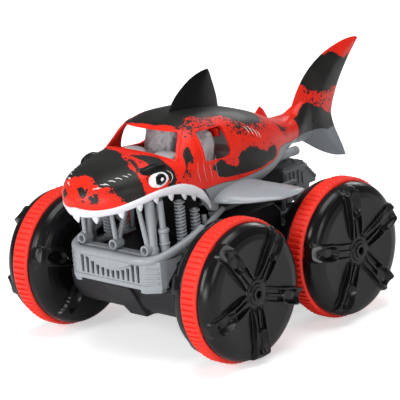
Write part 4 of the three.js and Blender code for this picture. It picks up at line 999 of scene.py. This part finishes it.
# ---------------------------------------------------------------------- cabin
def pillow(name, cx, cy, cz, hx, hy, hz, e=4.0, folds=0.0, tilt=0.0, seed=0, n=34):
    """Rounded padded block with draped folds."""
    th = np.linspace(-math.pi / 2, math.pi / 2, n)
    ph = np.linspace(-math.pi, math.pi, n * 2, endpoint=False)
    r = np.random.default_rng(seed)
    k = r.uniform(0, 2 * math.pi, 6)
    rings = []
    def pw(a):
        return np.sign(a) * np.abs(a) ** (2 / e)
    for t in th:
        ct, st = pw(np.cos(t)), pw(np.sin(t))
        x, y, z = hx * ct * pw(np.cos(ph)), hy * ct * pw(np.sin(ph)), np.full(len(ph), hz * st)
        w = folds * (np.sin(0.62 * x + 0.36 * z + k[0]) * 0.6 + np.abs(np.sin(0.5 * x - 0.3 * z + k[1])) * 0.9 + np.abs(np.sin(0.3 * y + 0.42 * z + 0.2 * x + k[2])) * 0.8 - 0.8)
        f = 1 + w / max(hx, hz)
        x, y, z = x * f, y * (1 + w / max(hy, 1) * 0.6), z * f
        c, s = math.cos(tilt), math.sin(tilt)
        rings.append(np.column_stack([cx + x, cy + y * c - z * s, cz + y * s + z * c]))
    return loft(name, rings)


def build_cabin():
    parts = [block(-34, 34, -54, 24, 114, 117.2, 1.0),
             soften(prism(rounded([(-62, 118), (-36, 117), (-35, 126.5), (-40, 130), (-50, 132.6), (-60, 134.6)], 2.2, 5), "x", -31.5, 31.5), 1.2, 3)]
    for s in (1, -1):
        parts.append(pillow("seat", s * 16.5, -27, 121.5, 12, 13, 5.4, 3.0, 1.3, 0, 3 + s, 50))
        parts.append(pillow("back", s * 16.5, -15.6, 133, 12, 4.6, 14.6, 2.6, 1.9, -0.26, 5 + s, 60))
        parts.append(pillow("bolster", s * 27.4, -15.4, 130, 2.6, 4.6, 11.5, 3, 0.3, -0.16, 8 + s))
        parts.append(pillow("bolster", s * 6.6, -15.4, 130, 2.6, 4.6, 11.5, 3, 0.3, -0.16, 11 + s))
        parts.append(pillow("head", s * 16.5, -12.6, 144.6, 5.2, 2.8, 3.6, 3, 0.2, -0.1, 13 + s))
    parts.append(pillow("bench", 0, 10, 121, 30, 8.5, 5, 5, 0.5, 0, 21))
    parts.append(pillow("bench_back", 0, 19, 130.5, 29, 3.4, 11.5, 5, 0.8, -0.05, 22))
    # instrument hoods and a wheel on the dashboard
    for s in (1, -1):
        parts.append(pillow("hood", s * 15, -45, 132.4, 9.5, 6.0, 2.8, 3, 0.25, 0.14, 30 + s))
    ring = [(15 + 5.4 * math.cos(a), -41 + 1.6 * math.sin(a), 128.5 + 5.2 * math.sin(a)) for a in np.linspace(0, 2 * math.pi, 40)]
    parts.append(sweep("rim", np.array(ring), 0.8, 10, False))
    parts.append(bar((15, -41, 128.5), (15, -45, 126), 1.2))
    for s in (1, -1):
        tab = pillow(f"head_rest_tab_{'left' if s > 0 else 'right'}", s * 24.5, -4.6, 141.6, 4.6, 1.8, 3.4, 4, 0.0, 0, 40)
        finish(tab, RED)
    finish(gather("cabin_interior_fine", parts), CABIN_GREY_AND_PAINTED_LIGHT, replaces=["cabin_interior"], smooth=40)


build_cabin()


# ----------------------------------------------------- bumper, cage and struts
def build_front():
    half = [(42.8, -43, 85.4), (43.2, -52, 82.2), (42.7, -66, 78.2), (41, -78, 75.4), (37.5, -86.8, 73.6), (29, -91.8, 72.9), (14, -92.8, 73.4)]
    path = curve(half + [(-x, y, z) for x, y, z in half[::-1]], 170)
    tube = sweep("bumper_tube", path, 3.1, 24)
    finish(tube, FRAMEG, replaces=["front_bumper"], smooth=60)

    plan = [(33, -92.6), (42.2, -86.5), (43.6, -82), (43.6, -66), (41.8, -66), (41.8, -81.5), (40.8, -85.2), (32.4, -90.6)]
    plan += [(-x, y) for x, y in plan[::-1]]
    wall = prism(plan, "z", 53.6, 72.6)
    # side view trims the wings so that they taper back
    boolean(wall, prism([(-100, 40), (-100, 80), (-60, 80), (-66, 71), (-80, 58), (-84, 52.6), (-84, 40)], "x", -60, 60), "INTERSECT")
    slots = []
    for i in range(12):
        x = -26.4 + i * 4.8
        tall = abs(x) > 20
        top = 69.4 if tall else 70.2 - 6.4 * (1 - (x / 22.5) ** 2) - 1.2
        slots.append(prism(rounded([(x - 1.05, 57.2), (x + 1.05, 57.2), (x + 1.6, top), (x - 1.6, top)], 0.6, 3), "y", -95, -88))
    for s in slots:
        boolean(wall, s, "DIFFERENCE")
    wall = soften(wall, 0.45, 2, 40)
    parts = [wall]
    # bowed chin plate over the short slots
    x = np.linspace(-22.5, 22.5, 60)
    low = 70.4 - 6.2 * (1 - (x / 22.5) ** 2)
    plate = prism([(a, b) for a, b in zip(x, low)] + [(22.5, 71.8), (-22.5, 71.8)], "y", -94.1, -92.2)
    parts.append(soften(plate, 0.6, 3, 40))
    # sill that steps down at its ends
    sill = [(-42.5, -86.3), (-33.4, -93.4), (33.4, -93.4), (42.5, -86.3), (42.9, -80), (41.2, -80), (41, -85.4), (32.6, -91), (-32.6, -91), (-41, -85.4), (-41.2, -80), (-42.9, -80)]
    parts.append(soften(prism(sill, "z", 52.8, 56.0), 0.5, 2, 40))
    for s in (1, -1):
        ends = [(s * 28.5, -93.3), (s * 33.2, -93.3), (s * 42.2, -86.6), (s * 42.4, -82), (s * 40.8, -82), (s * 40.2, -86), (s * 32.4, -91.6), (s * 28.5, -91.6)]
        parts.append(soften(prism(ends, "z", 50.6, 54), 0.5, 2, 40))
        for z in (58.2, 61.6, 65.0, 68.4):
            parts.append(sweep("ridge", curve([(s * 31.6, -92.3, z), (s * 33.6, -92.0, z), (s * 37, -89.8, z), (s * 41.2, -87.0, z - 0.2)], 16), 0.75, 10))
    shelf = prism([(36, -89.5), (41, -84), (41, -76), (-41, -76), (-41, -84), (-36, -89.5)], "z", 70.5, 72.4)
    parts.append(soften(shelf, 0.4, 2, 40))
    finish(gather("bumper_face", parts), FRAMEG, replaces=["front_bumper"], smooth=35)

    # cage: rings on the foot bar, a rising strut and a leaning one at each
    bits = [block(-33, 33, -86, -79.5, 72.4, 75.6, 0.7)]
    for x in (-30, 0, 30):
        ring = lathe("ring", [(-88.2, 3.6), (-80, 3.6), (-80, 2.1), (-87.2, 2.1), (-88.2, 2.4)], 40)
        v = coords(ring)
        w = np.column_stack([x + v[:, 1], v[:, 0], 79.2 + v[:, 2]])
        faces = [list(p.vertices) for p in ring.data.polygons]
        drop(ring)
        bits.append(outward(put("ring", w, faces)))
        bits.append(bar((x, -80.5, 79.2), (x, -84.5, 79.2), 2.3, 20))
        bits.append(bar((x, -84, 79), (x * 0.9, -88, 112.6), 1.8, 16, 1.6))
        bits.append(bar((x, -82.6, 79.6), (x * 0.93, -66, 112.6), 1.9, 16, 1.7))
    for x in (31.5, -31.5):
        bits.append(bar((x, -81, 73), (x * 0.92, -78.5, 112.8), 3.4, 24))
        bits.append(bar((x, -81, 73), (x * 0.985, -80.4, 80), 4.0, 24))
    roof = [(0, -109), (12, -106), (21, -99), (26.5, -91), (30.5, -81), (32.5, -66), (33.5, -52), (33, -46), (-33, -46), (-33.5, -52), (-32.5, -66), (-30.5, -81), (-26.5, -91), (-21, -99), (-12, -106)]
    bits.append(soften(prism(rounded(roof, 3, 3), "z", 112, 113.8), 0.4, 2, 40))
    finish(gather("front_cage_fine", bits), FRAMEG, replaces=["front_cage"], smooth=40)

    back = soften(prism(rounded([(-31, 70), (31, 70), (31, 100), (26, 107), (-26, 107), (-31, 100)], 3, 5), "y", -34.2, -32.6), 0.5, 2, 40)
    back.name = "mouth_back_panel"
    finish(back, BLACK, smooth=40)

    # a damper and two coil struts on each side
    for tag, s in (("left", 1), ("right", -1)):
        q = [block(32.5, 38.5, -77, -31, 69.5, 72, 0.6)]
        q.append(bar((35.4, -73, 71), (33.6, -73, 111.8), 2.3, 20))
        q.append(bar((35.4, -73, 71), (34.6, -73, 91), 3.3, 24))
        for a, b in ((80.4, 82.4), (89, 92)):
            q.append(bar((35.0, -73, a), (34.9, -73, b), 3.9, 24))
        for cx, cy, z0, z1, R in ((35.2, -56, 71, 107.8, 3.1), (34.6, -41, 71, 98, 2.9)):
            q.append(bar((cx, cy, z0), (cx, cy, z1), R * 0.62, 18))
            turns = int((z1 - z0 - 6) / 2.35)
            a = np.linspace(0, 2 * math.pi * turns, turns * 22)
            z = np.linspace(z0 + 3, z1 - 3.5, len(a))
            q.append(sweep("coil", np.column_stack([cx + (R - 0.1) * np.cos(a), cy + (R - 0.1) * np.sin(a), z]), 0.78, 9))
            for z_ in (z0 + 1.6, z1 - 1.8):
                q.append(bar((cx, cy, z_ - 0.9), (cx, cy, z_ + 0.9), R + 0.7, 24))
        q.append(bar((36, -33, 70), (34, -31.5, 90.5), 1.9, 16))
        q.append(bar((39.8, -43, 80.5), (37.6, -16, 91.2), 2.3, 20))
        o = gather(f"strut_set_{tag}_fine", q)
        if s < 0:
            m = mirrored(o, o.name)
            drop(o)
            m.name = f"strut_set_{tag}_fine"
            o = m
        finish(o, FRAMEG, replaces=[f"strut_set_{tag}"], smooth=50)

    # side trusses and the ribbed rear deck
    for tag, s in (("left", 1), ("right", -1)):
        q = [block(33.5, 37.5, -27, 64, 88.2, 91, 0.6)]
        for a, b in ((-25, -25), (-25, -19.5), (13, 33.5), (49, 49), (63, 63)):
            q.append(bar((35.5, a, 90), (35.5, b, 69.5), 1.8, 16))
        q += [block(33, 38, -29, -17, 68.9, 71.3, 0.5), block(33, 38, 30.5, 66, 68.9, 71.3, 0.5)]
        o = gather(f"side_frame_{tag}_fine", q)
        if s < 0:
            m = mirrored(o, o.name)
            drop(o)
            m.name = f"side_frame_{tag}_fine"
            o = m
        finish(o, DARK, replaces=[f"side_frame_{tag}"], smooth=40)
    deck = prism(rounded([(64, 84), (64, 96.5), (84, 97), (98.5, 83), (98.5, 79), (72, 79)], 1.6), "x", -24, 24)
    for i in range(11):
        y, z = 86.2 + i * 1.25, 96.4 - i * 1.33
        boolean(deck, prism([(y - 0.5, z - 1.2), (y + 0.2, z - 0.6), (y + 3, z + 3), (y + 2.4, z + 3.6)], "x", -19, 19), "DIFFERENCE")
    parts = [soften(deck, 0.35, 2, 40)]
    for i in range(8):
        y, z = 84.6 + i * 1.86, 97.0 - i * 1.92
        parts.append(soften(prism(rounded([(y - 0.9, z - 1.6), (y + 0.5, z - 1.6), (y + 1.1, z - 0.1), (y + 0.3, z + 1.1), (y - 0.6, z + 1.1)], 0.35, 3), "x", -24.9, 24.9), 0.2, 2, 40))
    parts.append(soften(prism(rounded([(66, 69.2), (76, 69.2), (92, 67.6), (96, 80), (66, 80)], 1.2, 4), "x", -21, 21), 0.5, 2, 40))
    for x in (24, -24):
        for i in range(5):
            parts.append(block(min(x, x * 1.035), max(x, x * 1.035), 66 + i * 4.4, 68 + i * 4.4, 81, 94.5 - max(0, i - 2) * 2.5, 0.3, 2))
        parts.append(block(x - 2.2, x + 2.2, 62, 88, 92.6, 95.2, 0.6, 3))
    for x in (-20, -12, -4, 4, 12, 20):
        parts.append(block(x - 1.8, x + 1.8, 80, 84.6, 95, 98.6, 0.6))
    parts += [block(17, 22, 68, 74, 68.9, 85, 0.5), block(-22, -17, 68, 74, 68.9, 85, 0.5)]
    finish(gather("rear_deck_fine", parts), DARK, replaces=["rear_deck"], smooth=35)


build_front()


# ------------------------------------------------------------------------ hull
def build_hull():
    top = 68.6
    pod = lambda a0, a1, y, r, n: [(y + r * math.cos(t), 50 + r * math.sin(t)) for t in np.linspace(a0, a1, n)]
    side = [(-72, top), (-73.5, 53.2)] + [(-54 + 27 * math.cos(t), 50 + 27 * math.sin(t)) for t in np.linspace(math.pi - 0.1, 1.5 * math.pi, 30)]
    side += [(54 + 27 * math.cos(t), 50 + 27 * math.sin(t)) for t in np.linspace(1.5 * math.pi, 2 * math.pi + 0.3, 34)] + [(75, top)]
    h = prism(side, "x", -51.4, 51.4)
    h = soften(h, 2.2, 5, 50)
    bow = put("bow", [(-14, -91, 52.4), (14, -91, 52.4), (14, -60, 52.4), (-14, -60, 52.4), (-8, -69, 22.6), (8, -69, 22.6), (8, -50, 22.6), (-8, -50, 22.6)],
              [(3, 2, 1, 0), (4, 5, 6, 7), (0, 1, 5, 4), (1, 2, 6, 5), (2, 3, 7, 6), (3, 0, 4, 7)])
    outward(bow)
    # cheek facets that run from the wedge into the pods
    cheeks = []
    for s in (1, -1):
        c = put("cheek", [(s * 12, -89, 52.4), (s * 33, -80, 52.4), (s * 33, -60, 52.4), (s * 12, -60, 52.4), (s * 8, -67, 24), (s * 27, -60, 27), (s * 27, -50, 27), (s * 8, -50, 24)],
                [(3, 2, 1, 0), (4, 5, 6, 7), (0, 1, 5, 4), (1, 2, 6, 5), (2, 3, 7, 6), (3, 0, 4, 7)])
        cheeks.append(soften(outward(c), 0.8, 3, 20))
    hump = soften(prism(rounded([(-16, 60), (-16, 80), (-9, 87), (22, 87), (29, 80), (29, 60)], 2, 4), "x", -51.4, 51.4), 1.6, 4, 50)
    bow = soften(bow, 0.8, 3, 20)
    boolean(h, [bow, *cheeks, hump], "UNION")
    # seam between the halves, a rib beside each pod, bearing rings, belly rails
    seam = prism([(-120, 49.9), (120, 49.9), (120, 50.3), (-120, 50.3)], "x", -52.5, 52.5)
    core = prism([(y * 0.988 - 0.0, 50 + (z - 50) * 0.97) for y, z in side], "x", -50.8, 50.8)
    boolean(seam, core, "DIFFERENCE")
    boolean(h, seam, "DIFFERENCE")
    boolean(h, soften(prism(rounded([(-18, -48), (18, -48), (18, 25), (-18, 25)], 2), "z", 20, 24.2), 0.2), "DIFFERENCE")
    boolean(h, prism([(-2.4, 36), (2.4, 36), (2.4, 44), (-2.4, 44)], "z", 20, 27.9), "DIFFERENCE")
    parts = [h]
    for s in (1, -1):
        for y in (-54, 54):
            a = [(s * 51.0, 13.0), (s * 52.3, 13.0), (s * 52.6, 12.4), (s * 52.6, 9.2), (s * 51.9, 8.6), (s * 51.0, 8.6)]
            parts.append(lathe("boss", a, 64, y, 50))
        for y in (-27, 0, 27):
            parts.append(lathe("boss", [(s * 51.0, 6.2), (s * 52.0, 6.0), (s * 52.2, 5.2), (s * 52.2, 0.05), (s * 51.0, 0.05)], 40, y, 50))
        parts.append(soften(prism(rounded([(-30, 34), (30, 34), (34, 40), (30, 46), (-30, 46), (-34, 40)], 3, 4), "x", min(s * 50.8, s * 52.0), max(s * 50.8, s * 52.0)), 0.5, 2, 40))
        for y in (-66, -40, -14, 14, 40, 66):
            parts.append(block(min(s * 50.6, s * 52.2), max(s * 50.6, s * 52.2), y - 1.1, y + 1.1, 53, 66, 0.4, 2))
        for x in (30, 40):
            parts.append(soften(prism(rounded([(-50, 22.0), (50, 22.0), (56, 25), (-56, 25)], 1), "x", s * x - 1, s * x + 1), 0.3, 2, 40))
    o = gather("hull_fine", parts)
    finish(o, HULL, replaces=["hull_lower", "hull_upper"], smooth=32)
    cover = soften(prism(rounded([(-17.6, -47.6), (17.6, -47.6), (17.6, 24.6), (-17.6, 24.6)], 1.8), "z", 23.0, 24.4), 0.35, 2, 40)
    for k in range(7):
        boolean(cover, prism([(-10, -40 + k * 4), (10, -40 + k * 4), (10, -38.2 + k * 4), (-10, -38.2 + k * 4)], "z", 22.8, 23.5), "DIFFERENCE")
    boolean(cover, bar((0, 20.5, 20), (0, 20.5, 30), 3.3, 32), "DIFFERENCE")
    cover.name = "battery_cover_fine"
    finish(cover, HULL, replaces=["battery_cover"], smooth=35)


build_hull()


# ---------------------------------------------------------------------- wheels
PROFILE = [(2.4, 19.4), (2.8, 20.2), (4.8, 20.2), (5.2, 19.0), (7.2, 18.9), (7.6, 17.9), (9.8, 17.8), (10.3, 16.9), (24, 17.3), (36.2, 17.9), (36.8, 17.85),
           (40.8, 17.1), (41.5, 16.8), (43.2, 16.0), (44.8, 14.9), (46.2, 13.2), (47.1, 11.2), (47.5, 9.2), (47.3, 6.3)]
BACK = [(3.2, 21.0), (10.0, 20.9), (30, 20.5), (36, 20.0), (39.5, 19.2), (42.8, 17.6), (45.4, 15.4), (47.0, 12.4), (47.6, 9.0), (47.3, 6.3)]


def radial_steps(n, profile):
    p = np.array(profile)
    d = np.concatenate([[0], np.cumsum(np.hypot(np.diff(p[:, 0]), np.diff(p[:, 1])))])
    t = np.linspace(0, d[-1], n)
    return np.interp(t, d, p[:, 0]), np.interp(t, d, p[:, 1])


def paddle_height(u, v, base):
    """Height of one scoop over the dome: u out along the paddle, v across it."""
    top = np.interp(u, [8, 12, 20, 38, 42.8, 46.9], [17.8, 19.6, 20.9, 21.7, 20.8, 14.6]) + 0.1 * np.clip(v, -5, 5) * smooth01(20, 34, u)
    v = v / (1 + 0.13 * smooth01(22, 31, u))
    du = np.maximum(u - 41.6, 0)
    d = ((du / 5.5) ** 4 + (np.abs(v) / 5.4) ** 4) ** 0.25 * 5.4
    boss = smooth01(5.75, 5.2, d) * smooth01(8.5, 10.5, u)
    # channel with a middle rail near the hub, then a spoon-shaped cup
    chan = base + 0.6 + 1.7 * smooth01(1.15, 0.75, np.abs(v)) * smooth01(24.8, 23.6, u)
    wall = smooth01(3.75, 4.25, np.abs(v))
    chan = chan + (top - chan) * np.maximum(wall, smooth01(24.2, 25.0, u - 0.06 * v ** 2))
    q = ((np.abs(u - 33.5) / np.where(u > 33.5, 12.8, 9.6)) ** 2.2 + (np.abs(v) / 4.7) ** 2.2) ** (1 / 2.2)
    sunk = np.minimum(16.4, top - 1.2)
    cup = np.where(q < 1, sunk + (top - sunk) * np.clip(q, 0, 1) ** 2.1, top)
    inside = np.where(u < 25.6, np.minimum(chan, cup), cup)
    return base * (1 - boss) + np.maximum(inside, np.minimum(base, inside + 9)) * boss


def shell_face(name, phase, sx, inner=False, nr=150, nt=540):
    r, a0 = radial_steps(nr, BACK if inner else PROFILE)
    th = np.linspace(0, 2 * math.pi, nt, endpoint=False)
    R, T = np.meshgrid(r, th, indexing="ij")
    A = np.repeat(a0[:, None], nt, 1)
    out = A.copy()
    for i in range(5):
        c = math.radians(phase + 72 * i)
        u, v = R * np.cos(T - c), R * np.sin(T - c)
        near = (u > 7) & (np.abs(v) < 7.6)
        if inner:
            lift = paddle_height(u, v, A - 2.6) + 2.6
            lift = A + np.clip(lift - A, -3.0, 2.4)
        else:
            lift = paddle_height(u, v, A)
        out = np.where(near, np.where(np.abs(out - A) > 1e-6, np.maximum(out, lift), lift), out)
    out = np.where(R < 10.0, np.where(R > 8.6, np.maximum(A, out), A), out)
    side = -1 if inner else 1
    rows = [np.column_stack([side * out[i], r[i] * np.cos(th), r[i] * np.sin(th)]) for i in range(nr)]
    rows.append(np.column_stack([np.full(nt, side * 6.3), 44 * np.cos(th), 44 * np.sin(th)]))
    rows.append(np.column_stack([np.full(nt, side * 0.3), 44 * np.cos(th), 44 * np.sin(th)]))
    rows.append(np.column_stack([np.full(nt, side * 0.3), r[0] * np.cos(th), r[0] * np.sin(th)]))
    v = np.vstack(rows)
    v[:, 0] *= sx
    return outward(put(name, v, grid(len(rows), nt, True, True), shift=False))


def tread(name, ribs=76, per=11):
    n = ribs * per
    k = np.arange(n)
    th = k / n * 2 * math.pi - math.pi / 2 - 0.5 * 2 * math.pi / ribs * 0
    f = (k % per) / per
    # each rib: steep on one side, a narrow groove between
    rise = np.array([0.0, 0.85, 1.0, 1.0, 0.95, 0.88, 0.8, 0.72, 0.64, 0.55, 0.05])[k % per]
    low, high = 48.3, 50.0
    rows = []
    for a, r, g in ((-6.1, 47.2, 0), (-6.1, 48.2, 0), (-5.7, 48.9, 0.0), (-4.9, 49.3, 0.25), (-4.55, 49.75, 0.9), (-3.6, 50.0, 1), (-1.2, 50.0, 1), (1.2, 50.0, 1),
                    (3.6, 50.0, 1), (4.35, 49.8, 0.9), (4.65, 49.35, 0.25), (5.1, 49.25, 0.0), (5.6, 48.75, 0.0), (6.1, 47.9, 0), (6.1, 47.2, 0), (6.1, 44.8, 0), (-6.1, 44.8, 0)):
        rr = r - g * (1 - rise) * (high - low)
        rows.append(np.column_stack([np.full(n, a * 1.1), rr * np.cos(th), rr * np.sin(th)]))
    return outward(put(name, np.vstack(rows), grid(len(rows), n, True, True), shift=False))


def moved(o, x, y, z):
    v = coords(o)
    v[:, 1] += SH
    faces = [list(p.vertices) for p in o.data.polygons]
    v += (x, y + SH, z)
    o.data.vertices.foreach_set("co", (v * 0.001).astype(np.float32).ravel())
    o.data.update()
    return o


def build_wheels():
    nr, nt = ((150, 540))
    for end, y, phase in (("front", -AXLE_Y, 54), ("rear", AXLE_Y, 24)):
        for tag, sx in (("left", 1), ("right", -1)):
            b = f"wheel_{end}_{tag}"
            o = moved(shell_face(b + "_face", phase, sx, False, nr, nt), sx * TRACK_X, y, AXLE_Z)
            finish(o, GLOSS, b, [b + "_outer_shell"], 42)
            o = moved(shell_face(b + "_back", phase + 36, sx, True, 110, 420), sx * TRACK_X, y, AXLE_Z)
            finish(o, GLOSS, b, [b + "_inner_shell"], 42)
            o = moved(tread(b + "_tread_ring"), sx * TRACK_X, y, AXLE_Z)
            finish(o, TREAD, b, [b + "_tread"], 30)
            # sleeve between the wheel and the hull, and the recessed screw
            o = lathe(b + "_sleeve", [(s_ * sx, q) for s_, q in ((53.8, 3.1), (53.8, 6.6), (54.6, 7.2), (60.6, 7.2), (60.6, 3.1))], 48, y, AXLE_Z)
            finish(o, GLOSS, b, [], 35)
            head = lathe(b + "_screw_head", [(sx * (TRACK_X + a), q) for a, q in ((11.9, 0.05), (11.9, 2.0), (13.2, 2.0), (13.9, 1.2), (13.9, 0.05))], 32, y, AXLE_Z)
            finish(head, STEEL, b, [b + "_screw"], 35)


build_wheels()


# -------------------------------------------- carried-over nodes get materials
def dress():
    look = {"battery_pack": CELL, "receiver_board": BOARD, "power_switch_body": BLACK, "power_switch_knob": BLACK, "battery_cover_screw": STEEL}
    for name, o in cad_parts.items():
        m = look.get(name)
        if m is None:
            if name.startswith(("output_gear", "idler_gear", "compound_gear")):
                m = NATURAL
            elif name.startswith(("motor_pinion", "drive_motor")):
                m = STEEL
            elif name.startswith("axle_seal"):
                m = RUBBER
        if m is not None:
            o.data.materials.clear()
            o.data.materials.append(m)


dress()


# ------------------------------------------------------- floor, light, camera
def build_stage():
    n = 40
    xs = np.linspace(-9000, 9000, n)
    v = [(x, y, -0.02) for x in xs for y in xs]
    f = [(i * n + j, (i + 1) * n + j, (i + 1) * n + j + 1, i * n + j + 1) for i in range(n - 1) for j in range(n - 1)]
    floor = put("floor", v, f)
    m, nt, b = nodes_of("floor_paper")
    net = Net(nt)
    b.inputs["Base Color"].default_value = (0.93, 0.93, 0.93, 1)
    b.inputs["Roughness"].default_value = 0.75
    b.inputs["Specular IOR Level"].default_value = 0.15
    # the paper looks brighter to the camera than it lights the car
    glow = net.new("ShaderNodeEmission")
    glow.inputs["Strength"].default_value = 0.5
    eye = net.new("ShaderNodeLightPath")
    both = net.new("ShaderNodeAddShader")
    pick = net.new("ShaderNodeMixShader")
    out = [n for n in nt.nodes if n.type == "OUTPUT_MATERIAL"][0]
    net.link(b.outputs[0], both.inputs[0])
    net.link(glow.outputs[0], both.inputs[1])
    net.link(eye.outputs["Is Camera Ray"], pick.inputs[0])
    net.link(b.outputs[0], pick.inputs[1])
    net.link(both.outputs[0], pick.inputs[2])
    net.link(pick.outputs[0], out.inputs[0])
    floor.data.materials.append(m)
    world = bpy.data.worlds.new("studio")
    scene.world = world
    world.use_nodes = True
    bg = world.node_tree.nodes["Background"]
    bg.inputs[0].default_value = (1, 1, 1, 1)
    sky = Net(world.node_tree)
    seen = sky.new("ShaderNodeLightPath").outputs["Is Camera Ray"]
    sky.link(sky.ramp(seen, 0.0, 1.0, WORLD, 0.95), bg.inputs[1])
    for name, at, aim, size, power in LIGHTS:
        d = bpy.data.lights.new(name, "AREA")
        d.shape, d.size, d.size_y, d.energy = "RECTANGLE", size[0], size[1], power
        o = bpy.data.objects.new(name, d)
        scene.collection.objects.link(o)
        o.location = at
        o.rotation_euler = (Vector(aim) - Vector(at)).to_track_quat("-Z", "Y").to_euler()
    scene.view_settings.view_transform = "Standard"
    scene.view_settings.look = "None"
    scene.view_settings.exposure = EXPOSURE
    scene.view_settings.gamma = 1.0

    az, el, roll = math.radians(43.848), math.radians(16.260), math.radians(-4.675)
    back = Vector((math.sin(az) * math.cos(el), -math.cos(az) * math.cos(el), math.sin(el)))
    right = Vector((0, 0, 1)).cross(back).normalized()
    up = back.cross(right)
    r2 = right * math.cos(roll) + up * math.sin(roll)
    u2 = up * math.cos(roll) - right * math.sin(roll)
    target = Vector((0, (1.2 + SH) * 0.001, 0.08705))
    cam = bpy.data.objects.new("camera", bpy.data.cameras.new("camera"))
    scene.collection.objects.link(cam)
    cam.data.sensor_width, cam.data.lens = 36.0, 238.3
    cam.data.clip_start, cam.data.clip_end = 0.05, 40
    cam.matrix_world = Matrix((
        (r2.x, u2.x, back.x, target.x + back.x * 1.8639),
        (r2.y, u2.y, back.y, target.y + back.y * 1.8639),
        (r2.z, u2.z, back.z, target.z + back.z * 1.8639),
        (0, 0, 0, 1)))
    scene.camera = cam


WORLD = 0.2
EXPOSURE = 0.0
LIGHTS = [
    ("key", (-0.55, -2.1, 1.05), (0, -0.05, 0.07), (1.0, 1.2), 28),
    ("low", (0.9, -2.2, 0.42), (0, -0.08, 0.07), (1.2, 0.6), 18),
    ("top", (0.2, 0.0, 1.9), (0, 0, 0.05), (1.3, 1.3), 22),
    ("side", (2.1, -0.5, 0.9), (0, 0, 0.06), (0.8, 1.0), 8),
    ("rim", (-0.6, 2.1, 1.2), (0, 0, 0.08), (1.2, 0.6), 12),
]
build_stage()
